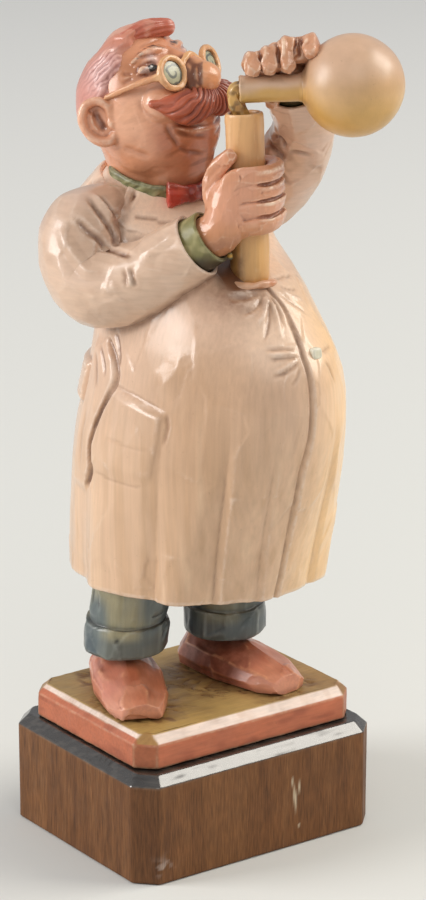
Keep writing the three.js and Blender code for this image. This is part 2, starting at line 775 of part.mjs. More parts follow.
function shoulderDowelForm(sleeve, grow) {
  const from = shoulderDowelStart - grow;
  const form = rod(shoulderDowel + grow, from, from + shoulderDowelLength + 2 * grow);
  const turn = Math.sign(sleeve.shoulder.side) * (Math.PI / 2);
  const rise = sleeve.shoulder.rise - sleeve.dowelDrop;
  return form.rotateY(turn).translate(0, shoulderBack, hemLevel + rise);
}

// Right hand: four fingers from the wrist across the tube's near side and round it, and a thumb beside it.
function rightHandForm() {
  const sleeve = sleeves.right;
  const near = vec(0, -1, 0).applyAxisAngle(vec(0, 0, 1), radians(gripTurn));
  const palm = alongWrist(sleeve, cuffShow + palmReach);
  const roundTube = (height) => ({ turn, drop, out, radius }) => {
    const direction = near.clone().applyAxisAngle(tubeAxis, radians(turn));
    const at = onTube(height - drop).addScaledVector(direction, tubeRadius + seam + fingerRadius + out);
    return { at, radius };
  };
  const fingers = [1.5, 0.5, -0.5, -1.5].map((row) => {
    const height = gripHeight + row * fingerSpacing;
    const start = palm.clone().addScaledVector(tubeAxis, row * fingerSpacing * palmShare);
    return limb(
      [{ at: start, radius: knuckleRadius }, ...rightFinger.map(roundTube(height))], fingerMesh,
    );
  });
  const thumb = limb(
    [{ at: palm, radius: knuckleRadius }, ...rightThumb.map(roundTube(gripHeight))], fingerMesh,
  );
  const backRadius = wristRadius(sleeve) * backShare;
  const back = roundTube(gripHeight)({ turn: backTurn, drop: 0, out: 0, radius: backRadius });
  const wrist = limb([...wristStops(sleeve), { at: palm, radius: wristRadius(sleeve) }, back], wristMesh);
  return mainBody(join(...[wrist, thumb, ...fingers].map((form) => solid(form))));
}

// Left hand: the palm behind the flask's neck, four fingers over the top and a thumb below.
function leftHandForm() {
  const sleeve = sleeves.left;
  const behind = flaskNeckRadius + leftPalm.behind;
  const palm = byFlask(leftPalm.along, leftPalm.above, behind);
  const fingers = leftFingers.map(({ along, top, tip }) => limb([
    { at: palm.clone().lerp(byFlask(along, 0, behind), palmShare), radius: knuckleRadius },
    { at: byFlask(along, top * knuckleShare, behind), radius: knuckleRadius },
    { at: byFlask(along, top, flaskNeckRadius * knuckleShare), radius: fingerRadius },
    { at: byFlask(along, tip, -flaskNeckRadius * knuckleShare), radius: fingerRadius * 0.92 },
  ], fingerMesh));
  const wrist = limb([
    ...wristStops(sleeve),
    { at: palm, radius: wristRadius(sleeve) * backShare },
    { at: byFlask(leftPalm.along, leftFingers[0].top, behind), radius: wristRadius(sleeve) * knuckleShare },
  ], wristMesh);
  const under = -flaskNeckRadius - fingerRadius;
  const thumb = limb([
    { at: palm, radius: knuckleRadius },
    { at: byFlask(leftThumb.along, under / 2, leftThumb.bend), radius: knuckleRadius },
    { at: byFlask(leftThumb.along, under, 0), radius: fingerRadius },
    { at: byFlask(leftThumb.along, under, -fingerRadius), radius: fingerRadius * 0.92 },
  ], fingerMesh);
  return mainBody(join(...[wrist, thumb, ...fingers].map((form) => solid(form))));
}

// Head, in its own frame

const headPlace = new THREE.Matrix4()
  .makeRotationFromEuler(new THREE.Euler(-radians(headTilt), 0, radians(headTurn), 'ZYX'))
  .setPosition(headSide, headBack, hemLevel + headRise);
const inHead = headPlace.clone().invert();
const neckFoot = vec(headSide / 2, neckBack, hemLevel + neckFootRise);

// The skull: its rings lie closer together towards the crown.
function skullForm(grow) {
  const [low, high] = [headRows[0].rise, headRows.at(-1).rise];
  const rings = shares(facets.skullLevels).map((share) => {
    const up = Math.sin((Math.PI / 2) * share);
    const rise = low + (high - low) * up;
    const lift = grow * (2 * up - 1);
    return turnsRound(facets.skull)
      .map((turn) => eggPoint(headRows, radians(turn), rise, grow).setZ(rise + lift));
  });
  return skin(rings);
}

function neckForm(grow) {
  const foot = neckFoot.clone().applyMatrix4(inHead);
  return limb([
    { at: foot, radius: neckRadius },
    { at: foot.clone().multiplyScalar(0.5), radius: neckRadius },
    { at: foot.clone().multiplyScalar(0.12), radius: neckRadius * 0.9 },
  ], { around: facets.neck, steps: 1, grow });
}

function neckDowelForm(grow) {
  const half = neckDowelLength / 2 + grow;
  return rod(neckDowel + grow, -half, half).translate(neckFoot.x, neckFoot.y, neckFoot.z);
}

const nose = (grow) => ball(
  vec(0, -noseReach, -noseDrop), vec(noseRadius, noseRadius * 0.95, noseRadius * 0.92), grow,
);
const cheeks = (grow) => [-1, 1].map((side) => ball(
  vec(side * cheekSpread, -cheekReach, -cheekDrop), vec(cheekRadius, cheekRadius * 0.85, cheekRadius), grow,
));

function earForms(grow) {
  return [-1, 1].map((side) => {
    const shell = ball(vec(0, 0, 0), vec(earThickness, earWidth, earHeight), grow);
    return shell.rotateZ(-side * radians(earTurn)).translate(side * earSpread, earBack, -earDrop);
  });
}

function headSolid(grow) {
  const forms = [skullForm(grow), neckForm(grow), nose(grow), ...cheeks(grow), ...earForms(grow)];
  return join(...forms.map((form) => solid(form)));
}

// Everything under a sloping plane through the hairline.
function belowHairline() {
  const block = new THREE.BoxGeometry(hairlineCut, hairlineCut, hairlineCut);
  block.translate(0, 0, -hairlineCut / 2);
  return solid(block.rotateX(-radians(hairlineSlope)).translate(0, 0, hairlineRise));
}

function hairSolid() {
  const stops = hairLock.map(({ side, reach, rise, radius }) => ({ at: vec(side, -reach, rise), radius }));
  const lock = limb(stops, { around: facets.hairLock, roundStart: true, roundEnd: true });
  return join(cut(solid(skullForm(hairThickness)), belowHairline()), solid(lock));
}

function moustacheForm(grow = 0) {
  const half = (sign) => moustacheStops.map(({ side, back, lift, girth }) => ({
    at: vec(sign * side * moustacheHalf, back - moustacheReach, lift - moustacheDrop),
    radius: moustacheRadius * girth,
  }));
  const stops = [...half(-1).reverse(), ...half(1).slice(1)];
  return limb(stops, { around: facets.moustache, steps: 2, grow, roundStart: true, roundEnd: true });
}

const lensRadius = rimRadius - rimThickness / 2 - seam;

function rimPlace(side) {
  return new THREE.Matrix4()
    .makeRotationFromEuler(new THREE.Euler(Math.PI / 2, 0, side * radians(rimWrap), 'ZYX'))
    .setPosition(side * rimSpread, -rimReach, rimRise);
}

function rimForm() {
  const [inner, outer] = [rimRadius - rimThickness / 2, rimRadius + rimThickness / 2];
  const half = rimDepth / 2;
  const ring = [[inner, -half], [outer, -half], [outer, half], [inner, half], [inner, -half]];
  return turned(ring, facets.rim);
}

function spectacleSolid() {
  const bridge = limb([
    { at: vec(-rimSpread + rimRadius, -rimReach, rimRise + bridgeFoot), radius: bridgeRadius },
    { at: vec(0, -rimReach - bridgeFoot, rimRise + bridgeRise), radius: bridgeRadius },
    { at: vec(rimSpread - rimRadius, -rimReach, rimRise + bridgeFoot), radius: bridgeRadius },
  ], { around: facets.wire, steps: 2 });
  const temples = [-1, 1].map((side) => limb([
    { at: vec(side * (rimSpread + rimRadius), templeRoot - rimReach, rimRise), radius: templeRadius },
    { at: vec(side * (rimSpread + rimRadius + templeBow), -rimReach / 2, rimRise), radius: templeRadius },
    { at: vec(side * earSpread, earBack - earWidth, earHeight - earDrop - templeDrop), radius: templeRadius },
  ], { around: facets.wire, steps: 2 }));
  const rims = [-1, 1].map((side) => solid(rimForm(), rimPlace(side)));
  return join(...rims, ...[bridge, ...temples].map((form) => solid(form)));
}

function lensForm() {
  const half = lensThickness / 2;
  return turned([[0, -half], [lensRadius, -half], [lensRadius, 0], [0, half]], facets.rim);
}

// Shirt collar and bow tie

function shirtCollarSolid(grow = 0) {
  const radius = neckRadius + seam + shirtCollarThickness + grow;
  const band = rod(radius, -grow, shirtCollarHeight + grow, facets.collar).rotateX(radians(shirtCollarTilt));
  return solid(band.translate(neckFoot.x, neckFoot.y, hemLevel + shirtCollarRise));
}

// A bow of two wings that widen from the knot and bend back round the collar.
function bowTieSolid() {
  const front = neckRadius + shirtCollarThickness + 2 * seam + tieThickness / 2;
  const rise = shirtCollarRise + shirtCollarHeight * tieShare - front * Math.sin(radians(shirtCollarTilt));
  const wing = (side) => skin([0, 0.5, 1].map((share) => {
    const turn = side * share * tieHalf / front;
    const half = tieKnot / 2 + (tieHeight / 2 - tieKnot / 2) * share;
    const corner = (radius, above) => vec(
      neckFoot.x + radius * Math.sin(turn), neckFoot.y - radius * Math.cos(turn), hemLevel + rise + above,
    );
    const near = front + tieThickness / 2;
    const far = front - tieThickness / 2;
    return [corner(near, -half / 2), corner(near, half / 2), corner(front, half), corner(far, half / 2),
      corner(far, -half / 2), corner(front, -half)];
  }));
  const knotPlace = vec(neckFoot.x, neckFoot.y - front, hemLevel + rise);
  const knot = ball(knotPlace, vec(tieKnot, tieThickness * 0.7, tieKnot));
  return join(...[wing(-1), wing(1), knot].map((form) => solid(form)));
}

// Assembly

const finish = (color, roughness, metalness = 0) => (
  new THREE.MeshStandardMaterial({ color, roughness, metalness })
);
const finishes = {
  walnut: finish(0x5e3f2c, 0.45),
  terracotta: finish(0xb7633f, 0.5),
  steel: finish(0xb5b5b0, 0.35, 1),
  shoe: finish(0xc0704f, 0.4),
  trouser: finish(0x55646b, 0.5),
  coat: finish(0xdcb99f, 0.42),
  limewood: finish(0xd9b98c, 0.6),
  skin: finish(0xd49870, 0.4),
  hair: finish(0xc77060, 0.42),
  moustache: finish(0xa04a3c, 0.42),
  shirt: finish(0x7b7f52, 0.5),
  tie: finish(0xbb3a2c, 0.4),
  ochre: finish(0xd6a561, 0.4),
  liquid: finish(0xc9a24a, 0.35),
  rim: finish(0xd9a468, 0.4),
  lens: finish(0x8f9a86, 0.25),
  button: finish(0xd9dcc6, 0.4),
};

const figurine = new THREE.Group();
const head = new THREE.Group();
headPlace.decompose(head.position, head.quaternion, head.scale);
figurine.add(head);

function addPiece(parent, name, whole, material) {
  const mesh = new THREE.Mesh(geometryOf(whole), finishes[material]);
  mesh.name = name;
  parent.add(mesh);
  return mesh;
}

function addPlaced(parent, name, geometry, material, matrix) {
  const mesh = addPiece(parent, name, solid(geometry), material);
  matrix.decompose(mesh.position, mesh.quaternion, mesh.scale);
  return mesh;
}

// Rooms: the space that a piece and its clearance take out of its neighbours.
const legHoles = Object.values(feet).map((foot) => solid(legDowelForm(foot, seam)));
const trouserRooms = Object.values(feet).map((foot) => solid(trouserForm(foot, seam)));
const shoulderHoles = {
  right: solid(shoulderDowelForm(sleeves.right, seam)),
  left: solid(shoulderDowelForm(sleeves.left, seam)),
};
const neckDowelHole = solid(neckDowelForm(seam));
const coatRoom = join(solid(coatForm(seam)), solid(coatCollarForm(seam)));
const headRoom = headSolid(seam);
const headInFigure = solid(geometryOf(headRoom), headPlace);
const streamRoom = solid(streamForm(seam));
const flaskRoom = solid(flaskForm(seam, false), flaskPlace);
const moustacheRoom = solid(moustacheForm(seam));

// Block and plinth
addPiece(figurine, 'walnut_base', cut(
  solid(slab(baseWidth, baseDepth, baseCorner, baseBevel, 0, baseHeight)), ...screwHoles,
), 'walnut');
for (const [name, x] of Object.entries(screwPlaces)) {
  addPlaced(figurine, name, screwForm(0), 'steel', new THREE.Matrix4().makeTranslation(x, 0, 0));
}
addPiece(figurine, 'plinth', cut(
  solid(slab(plinthWidth, plinthDepth, plinthCorner, plinthBevel, plinthFoot, plinthTop)),
  ...screwHoles,
  ...legHoles,
), 'terracotta');

// Legs
for (const [name, foot] of Object.entries(feet)) {
  const turn = Math.sign(foot.side) * radians(foot.splay);
  const shoePlace = new THREE.Matrix4().makeRotationZ(turn).setPosition(foot.side, foot.back, soleLevel);
  addPiece(figurine, `${name}_shoe`, cut(solid(shoeForm(), shoePlace), ...legHoles), 'shoe');
  addPiece(figurine, `${name}_trouser_leg`, cut(solid(trouserForm(foot, 0)), ...legHoles), 'trouser');
  addPiece(figurine, `${name}_leg_dowel`, solid(legDowelForm(foot, 0)), 'limewood');
}

// Coat and its button
const coat = join(...[
  coatForm(0), coatPatch(pocket, pocketSlant), coatPatch(backBelt), coatPatch(beltTab),
  coatCollarForm(), tubeLipForm(),
].map((form) => solid(form)));
addPiece(figurine, 'coat_body', mainBody(cut(
  coat, solid(hemRecessForm()), ...trouserRooms, ...legHoles, ...Object.values(shoulderHoles),
  neckDowelHole, solid(neckForm(seam), headPlace), tubeRoom, shirtCollarSolid(seam),
  ...Object.values(sleeves).map((sleeve) => sleeveEnd(sleeve, seam)),
)), 'coat');
addPiece(figurine, 'coat_button', mainBody(cut(solid(buttonForm(), buttonPlace()), coatRoom)), 'button');

// Arms
for (const [name, sleeve] of Object.entries(sleeves)) {
  const cuffRod = (grow, from, to) => solid(wristRod(sleeve, cuffOuter(sleeve) + grow, from, to));
  const boreRod = (grow) => (
    solid(wristRod(sleeve, wristRadius(sleeve) + grow, -cuffSink - cutMargin, cuffShow + cutMargin))
  );
  const cuffRoom = cuffRod(seam, -cuffSink - seam, cuffShow * 2);
  const cuffShell = cut(cuffRod(seam, -cuffSink - seam, cuffShow + seam), boreRod(0));
  const cuff = cut(cuffRod(0, -cuffSink, cuffShow), boreRod(seam));
  const sleeveShell = cut(solid(sleeveForm(sleeve, seam)), cuffRoom);
  const coatByCuff = cut(coatRoom, sleeveEnd(sleeve, 0));
  const hand = name === 'right' ? rightHandForm() : leftHandForm();
  addPiece(figurine, `${name}_sleeve`, mainBody(cut(
    solid(sleeveForm(sleeve, 0)),
    coatByCuff, cuffRoom, shoulderHoles[name], tubeRoom, flaskRoom, headInFigure,
  )), 'coat');
  addPiece(figurine, `${name}_shoulder_dowel`, solid(shoulderDowelForm(sleeve, 0)), 'limewood');
  addPiece(figurine, `${name}_shirt_cuff`, mainBody(cut(cuff, coatByCuff, tubeRoom, flaskRoom)), 'shirt');
  addPiece(figurine, `${name}_hand`, mainBody(cut(
    hand, tubeRoom, flaskRoom, coatRoom, cuffShell, sleeveShell, streamRoom,
  )), 'skin');
}

// Glassware
addPlaced(figurine, 'measuring_tube', tubeForm(), 'ochre', tubePlace);
addPlaced(figurine, 'round_flask', flaskForm(), 'ochre', flaskPlace);
addPiece(figurine, 'poured_stream', mainBody(cut(
  solid(streamForm()), solid(flaskForm(seam), flaskPlace), solid(tubeForm(seam), tubePlace),
)), 'liquid');

// Head
addPiece(figurine, 'neck_dowel', solid(neckDowelForm(0)), 'limewood');
addPiece(head, 'head', cut(headSolid(0), solid(neckDowelForm(seam), inHead)), 'skin');
addPiece(head, 'hair', mainBody(cut(hairSolid(), headRoom)), 'hair');
addPiece(head, 'moustache', mainBody(cut(solid(moustacheForm()), headRoom)), 'moustache');
addPiece(head, 'spectacle_frame', mainBody(cut(spectacleSolid(), headRoom, moustacheRoom)), 'rim');
for (const [name, side] of [['right_lens', -1], ['left_lens', 1]]) {
  addPiece(head, name, mainBody(cut(solid(lensForm(), rimPlace(side)), headRoom)), 'lens');
}
addPiece(figurine, 'shirt_collar', mainBody(cut(shirtCollarSolid(), headInFigure)), 'shirt');
addPiece(figurine, 'bow_tie', mainBody(cut(
  bowTieSolid(), shirtCollarSolid(seam), coatRoom, headInFigure,
)), 'tie');

export default figurine;
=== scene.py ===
import math
from functools import reduce

import bmesh
import bpy
import numpy as np
from mathutils import Matrix, Vector


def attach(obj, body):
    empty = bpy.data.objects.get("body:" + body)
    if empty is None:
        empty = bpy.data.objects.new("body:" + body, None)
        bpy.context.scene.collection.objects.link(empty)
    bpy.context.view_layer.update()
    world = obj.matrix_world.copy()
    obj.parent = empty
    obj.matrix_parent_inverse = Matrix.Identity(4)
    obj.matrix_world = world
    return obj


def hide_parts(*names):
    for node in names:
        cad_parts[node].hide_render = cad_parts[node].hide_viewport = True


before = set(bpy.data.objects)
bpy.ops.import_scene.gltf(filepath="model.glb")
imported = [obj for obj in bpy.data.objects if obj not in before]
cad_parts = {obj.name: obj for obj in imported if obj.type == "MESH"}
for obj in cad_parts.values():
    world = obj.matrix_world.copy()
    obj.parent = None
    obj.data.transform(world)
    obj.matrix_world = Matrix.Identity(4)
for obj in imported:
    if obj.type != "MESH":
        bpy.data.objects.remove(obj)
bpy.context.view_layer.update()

scene = bpy.context.scene
print("stage: frame loaded")

hemLevel = 71.0  # millimetres above the block's underside
seam = 0.3


def ease(low, high, x):  # smooth step: 0 at low, 1 at high, 3t² - 2t³ between
    t = np.clip((np.asarray(x, float) - low) / (high - low), 0, 1)
    return t * t * (3 - 2 * t)


def hump(centre, half, x):  # bell: 1 at the centre, falling as a Gaussian of that half width
    return np.exp(-((np.asarray(x, float) - centre) / half) ** 2)


def unit(v):
    return v / np.maximum(np.linalg.norm(v, axis=-1, keepdims=True), 1e-9)


def distance(points, place):
    return np.linalg.norm(points - np.asarray(place, float), axis=-1)


def fromAxis(points, start, axis):  # how far along an axis each point lies, and how far from it
    along = (points - start) @ axis
    return along, distance(points, start + along[:, None] * axis)


def most(*masks):  # the highest of several masks at each point
    return reduce(np.maximum, masks)


def xyz(x, y, z):  # three coordinates, of shapes that fit together, as points
    return np.stack(np.broadcast_arrays(x, y, z), axis=-1)


def circle(count):  # equal steps once round, in radians
    return np.linspace(0, 2 * np.pi, count, endpoint=False)


def spin(degrees, axis):
    return Matrix.Rotation(math.radians(degrees), 4, axis)


def placed(points, matrix):  # points carried by a 4 by 4 matrix
    table = np.array(matrix)
    return points @ table[:3, :3].T + table[:3, 3]


def axisMatrix(origin, axis):  # a frame whose Z runs along the axis
    return Matrix.Translation(origin) @ Vector(axis).to_track_quat("Z", "Y").to_matrix().to_4x4()


def srgb(*values):  # a colour as seen on screen, 0 to 255, as linear light
    v = np.asarray(values, float) / 255
    return np.where(v <= 0.04045, v / 12.92, ((v + 0.055) / 1.055) ** 2.4)


def latticeValue(cells, seed):  # one fixed value from 0 to 1 for each whole-number cell
    x, y, z = (cells[..., axis].astype(np.int64) for axis in range(3))
    n = (x * 374761393 + y * 668265263 + z * 1440662683 + seed * 974711 + 1013904223) & 0xFFFFFFFF
    n = ((n ^ (n >> 13)) * 1274126177) & 0xFFFFFFFF
    return ((n ^ (n >> 16)) & 0xFFFF) / 65535.0


def softNoise(points, size, seed):  # lattice values blended by a smooth step along each axis, -1 to 1
    place = np.asarray(points, float) / size
    cell = np.floor(place)
    part = place - cell
    part = part * part * (3 - 2 * part)
    total = np.zeros(place.shape[:-1])
    for corner in np.ndindex(2, 2, 2):
        share = np.prod(np.where(np.array(corner) == 1, part, 1 - part), axis=-1)
        total += share * latticeValue(cell + corner, seed)
    return 2 * total - 1


def patches(points, size, seed, low, high):  # soft noise as a mask, eased from 0 at low to 1 at high
    return ease(low, high, softNoise(points, size, seed))


def nearestCell(points, size, seed):  # for each point, a number for the nearest of one scattered place per cell
    place = np.asarray(points, float) / size
    cell = np.floor(place)
    best = np.full(len(place), 9.0)
    label = np.zeros_like(place)
    for step in np.ndindex(3, 3, 3):
        near = cell + np.array(step) - 1
        jitter = np.stack([latticeValue(near, seed + axis) for axis in range(3)], axis=-1)
        away = distance(near + jitter, place)
        closer = away < best
        best[closer], label[closer] = away[closer], near[closer]
    return np.unique(label, axis=0, return_inverse=True)[1].ravel()


def through(stops, shares, centripetal=True):  # Catmull-Rom curve through the stops, each span an equal share
    stops = np.asarray(stops, float)
    stops = stops[:, None] if stops.ndim == 1 else stops
    ends = [2 * stops[0] - stops[1], 2 * stops[-1] - stops[-2]] if centripetal else [stops[0], stops[-1]]
    full = np.concatenate([ends[:1], stops, ends[1:]])
    spans = len(stops) - 1
    place = np.clip(np.asarray(shares, float), 0, 1) * spans
    i = np.minimum(place.astype(int), spans - 1)
    t = (place - i)[:, None]
    a, b, c, d = (full[i + k] for k in range(4))
    if centripetal:
        gaps = np.maximum(np.linalg.norm(np.diff(full, axis=0), axis=1), 1e-6) ** 0.5
        u, v, w = (gaps[i + k][:, None] for k in range(3))
        start = ((b - a) / u - (c - a) / (u + v) + (c - b) / v) * v
        finish = ((c - b) / v - (d - b) / (v + w) + (d - c) / w) * v
    else:
        start, finish = (c - a) / 2, (d - b) / 2
    bend = 3 * (c - b) - 2 * start - finish
    twist = start + finish - 2 * (c - b)
    return b + t * (start + t * (bend + t * twist))


def rowColumns(rows, rise):  # the columns of a table of rows, read between the rows by a cubic
    table = np.asarray(rows, float)
    keys = table[:, 0]
    i = np.clip(np.searchsorted(keys, rise, side="left") - 1, 0, len(keys) - 2)
    before, after = np.maximum(i - 1, 0), np.minimum(i + 2, len(keys) - 1)
    span = keys[i + 1] - keys[i]
    t = (rise - keys[i]) / span
    out = []
    for column in table.T[1:]:
        a, b = column[i], column[i + 1]
        start = (b - column[before]) / (keys[i + 1] - keys[before]) * span
        finish = (column[after] - a) / (keys[after] - keys[i]) * span
        bend = 3 * (b - a) - 2 * start - finish
        out.append(a + t * (start + t * (bend + t * (start + finish - 2 * (b - a)))))
    return out


def eggPoints(rows, degrees, rise, grow):
    # egg section: x = half sin a, y = middle - front or back depth times cos a
    front, back, half, middle = rowColumns(rows, rise)
    angle = np.radians(degrees)
    depth = np.where(np.cos(angle) > 0, front + middle, back - middle)
    x = (half + grow) * np.sin(angle)
    y = middle - (depth + grow) * np.cos(angle)
    return xyz(x, y, rise)


def frames(path):  # tangents and two cross directions, carried along the path without twisting
    tangent = unit(np.gradient(path, axis=0))
    side = np.cross(tangent[0], (0, 0, 1) if abs(tangent[0, 2]) < 0.9 else (0, 1, 0))
    sides = []
    for direction in tangent:
        side = unit(side - direction * np.dot(side, direction))
        sides.append(side)
    sides = np.array(sides)
    return tangent, sides, np.cross(tangent, sides)


def limbGrid(stops, radii, around, count, domes=(1, 1), section=None):
    # a round limb: circles of the read radius carried along the curve through the stops, with round ends
    shares = np.linspace(0, 1, count)
    path = through(stops, shares)
    radius = through(radii, shares, False)[:, 0]
    tangent, side, other = frames(path)
    rings = [path], [radius], [tangent], [side], [other], [shares]
    for end, place in ((0, 0), (1, -1)):
        if domes[end]:
            turn = np.radians(np.linspace(0, 86, 9)[1:])
            lift = np.sin(turn) * radius[place] * (2 * end - 1)
            extra = [path[place] + tangent[place] * lift[:, None], radius[place] * np.cos(turn)]
            extra += [np.repeat(v[place][None], len(turn), 0) for v in (tangent, side, other, shares)]
            for column, more in zip(rings, extra):
                column.insert(0, more[::-1]) if end == 0 else column.append(more)
    path, radius, tangent, side, other, shares = (np.concatenate(column) for column in rings)
    angle = circle(around)
    girth = radius[:, None] * (1 if section is None else section(shares[:, None], angle[None]))
    across = np.cos(angle)[None, :, None] * side[:, None] + np.sin(angle)[None, :, None] * other[:, None]
    return path[:, None] + girth[..., None] * across


def turnedGrid(profile, around, count, wobble=0.0, seed=3):
    # a turned form about Z: circles of the profile's radii at its heights, evenly spaced, with its corners kept
    profile = np.asarray(profile, float)
    lengths = np.concatenate([[0], np.cumsum(np.linalg.norm(np.diff(profile, axis=0), axis=1))])
    places = np.unique(np.concatenate([np.linspace(0, lengths[-1], count), lengths]))
    places = places[np.diff(places, prepend=-1) > 1e-3]
    radius, height = (np.interp(places, lengths, profile[:, k])[:, None] for k in (0, 1))
    angle = circle(around)
    grid = xyz(radius * np.cos(angle), radius * np.sin(angle), height)
    swelling = 1 + wobble * softNoise(grid, 6, seed)
    return grid * xyz(swelling, swelling, np.ones_like(swelling))


def ringFaces(rings, around):  # quads between neighbouring rings, with the first and last ring's point numbers
    index = np.arange(rings * around).reshape(rings, around)
    after = np.roll(index, -1, axis=1)
    quads = np.stack([index[:-1], after[:-1], after[1:], index[1:]], axis=-1).reshape(-1, 4)
    return quads, index, after


def shellOf(grid):  # rings of points as a closed shell: quads between the rings and a fan over each end ring
    rings, around = grid.shape[:2]
    quads, index, after = ringFaces(rings, around)
    points = np.concatenate([grid.reshape(-1, 3), grid[:1].mean(1), grid[-1:].mean(1)])
    first = np.full(around, rings * around)
    low = xyz(after[0], index[0], first)
    high = xyz(index[-1], after[-1], first + 1)
    return points, [quads, low, high]


def limb(*limbForm):  # a limb as a closed shell
    return shellOf(limbGrid(*limbForm))


def joined(shapes):
    points, faces, start = [], [], 0
    for shapePoints, shapeFaces in shapes:
        points.append(shapePoints)
        faces += [face + start for face in shapeFaces]
        start += len(shapePoints)
    return np.concatenate(points), faces


def meshOf(name, shape, merge=False):
    points, faces = shape
    mesh = bpy.data.meshes.new(name)
    mesh.from_pydata((points / 1000).tolist(), [], [face for block in faces for face in block.tolist()])
    work = bmesh.new()
    work.from_mesh(mesh)
    if merge:
        bmesh.ops.remove_doubles(work, verts=work.verts, dist=1e-6)
    bmesh.ops.recalc_face_normals(work, faces=work.faces)
    work.to_mesh(mesh)
    work.free()
    return mesh


def fused(name, shapes, voxel, rounds):  # closed shells become one skin by a voxel remesh, then evened out
    source = bpy.data.objects.new(name + "Source", meshOf(name + "Source", joined(shapes)))
    scene.collection.objects.link(source)
    remesh = source.modifiers.new("remesh", "REMESH")
    remesh.mode = "VOXEL"
    remesh.voxel_size = voxel / 1000
    graph = bpy.context.evaluated_depsgraph_get()
    mesh = bpy.data.meshes.new_from_object(source.evaluated_get(graph))
    mesh.name = name
    bpy.data.objects.remove(source)
    movePoints(mesh, averaged(pointsOf(mesh), edgesOf(mesh), rounds, 0.6))
    return mesh


def pointsOf(mesh):
    values = np.empty(len(mesh.vertices) * 3)
    mesh.vertices.foreach_get("co", values)
    return values.reshape(-1, 3) * 1000


def normalsOf(mesh):
    values = np.empty(len(mesh.vertices) * 3)
    mesh.vertex_normals.foreach_get("vector", values)
    return values.reshape(-1, 3)


def edgesOf(mesh):
    values = np.empty(len(mesh.edges) * 2, np.int64)
    mesh.edges.foreach_get("vertices", values)
    return values.reshape(-1, 2)


def movePoints(mesh, points):
    mesh.vertices.foreach_set("co", (points / 1000).ravel())
    mesh.update()
    return points


def swell(mesh, height):  # each point moves that far along its normal
    movePoints(mesh, pointsOf(mesh) + normalsOf(mesh) * height[:, None])
    return pointsOf(mesh)


def averaged(values, ends, rounds, share):  # each value moves by a share towards the mean of its neighbours
    count = np.maximum(np.bincount(ends.ravel(), minlength=len(values)), 1)[:, None]
    one, other = ends.T
    for _ in range(rounds):
        sums = [np.bincount(one, column[other], len(values)) + np.bincount(other, column[one], len(values))
                for column in values.T]
        values = values + share * (np.stack(sums, axis=-1) / count - values)
    return values


def fold(places, width, depth, dark, sharp=1.4, taper=0.3):
    # a cut along a curve through a few places: half width, depth, how dark its wash is, how steep its sides are
    # and the share of its length over which each end runs out; a negative depth is a ridge
    return dict(places=places, width=width, depth=depth, dark=dark, sharp=sharp, taper=taper)


def carved(points, normals, cuts):
    # each cut's curve is laid on the skin's nearest points: the skin sinks by its depth on the curve, by depth
    # times (1 - distance / width) to the power "sharp" beside it, and less towards its two ends
    sink = np.zeros(len(points))
    dark = np.zeros(len(points))
    for cut in cuts:
        places, width, taper = np.asarray(cut["places"], float), cut["width"], cut["taper"]
        line = through(places, np.linspace(0, 1, 14 * len(places)))
        reach = width + 2.5
        inside = np.all((points > line.min(0) - reach) & (points < line.max(0) + reach), axis=1)
        inside = np.flatnonzero(inside)
        if len(inside) == 0:
            continue
        local = points[inside]
        line = local[distance(local[:, None], line[None]).argmin(0)]
        for _ in range(8):
            line[1:-1] = 0.25 * line[:-2] + 0.5 * line[1:-1] + 0.25 * line[2:]
        away = distance(local[:, None], line[None])
        share = away.argmin(1) / (len(line) - 1)
        fade = ease(0, taper, share) * ease(0, taper, 1 - share)
        near = np.clip(1 - away.min(1) / width, 0, 1)
        sunk = cut["depth"] * near ** cut["sharp"] * fade
        sink[inside] = np.where(np.abs(sunk) > np.abs(sink[inside]), sunk, sink[inside])
        dark[inside] = np.maximum(dark[inside], cut["dark"] * ease(0.2, 0.85, near) * fade)
    return points - normals * sink[:, None], dark


def cutInto(mesh, cuts):
    points, dark = carved(pointsOf(mesh), normalsOf(mesh), cuts)
    movePoints(mesh, points)
    return dark


def both(places):  # a list of places and its mirror image, side to side
    table = np.asarray(places, float)
    return [table, table * (-1, 1, 1)]


def mirrored(cuts):  # cuts on the figure's right and their mirror images
    return [{**cut, "places": places} for cut in cuts for places in both(cut["places"])]


def faceted(mesh, size, share, seed, push=0.0, stretch=(1, 1, 1), rounds=2, limit=0.6):
    # knife facets: points pushed out along their normals are gathered by the nearest scattered place, and each
    # group moves a share of the way to the plane through its mean place across its mean normal
    points, normals = pointsOf(mesh), normalsOf(mesh)
    label = nearestCell((points + normals * push) * np.asarray(stretch, float), size, seed)
    count = np.bincount(label)[:, None]
    mean = lambda table: np.stack([np.bincount(label, column) for column in table.T], axis=-1) / count
    aim = unit(mean(normals))[label]
    lift = np.clip(((mean(points)[label] - points) * aim).sum(1), -limit, limit)
    return movePoints(mesh, averaged(points + aim * (share * lift)[:, None], edgesOf(mesh), rounds, 0.5))


def handled(mesh, rounds, hollow, proud):
    # wash gathers where the skin lies below its neighbourhood's mean by that many millimetres, rub where above
    points = pointsOf(mesh)
    height = ((averaged(points, edgesOf(mesh), rounds, 0.7) - points) * normalsOf(mesh)).sum(1)
    return ease(0, hollow, height), ease(0.15 * proud, proud, -height)


def blended(base, *layers):  # paint colours, as seen on screen or already mixed, laid one over another by masks
    linear = lambda colour: srgb(*colour) if isinstance(colour, tuple) else colour
    colour = linear(base) + np.zeros((len(layers[0][0]), 3))
    for mask, over in layers:
        share = np.clip(mask, 0, 1)[:, None]
        colour = colour * (1 - share) + linear(over) * share
    return colour


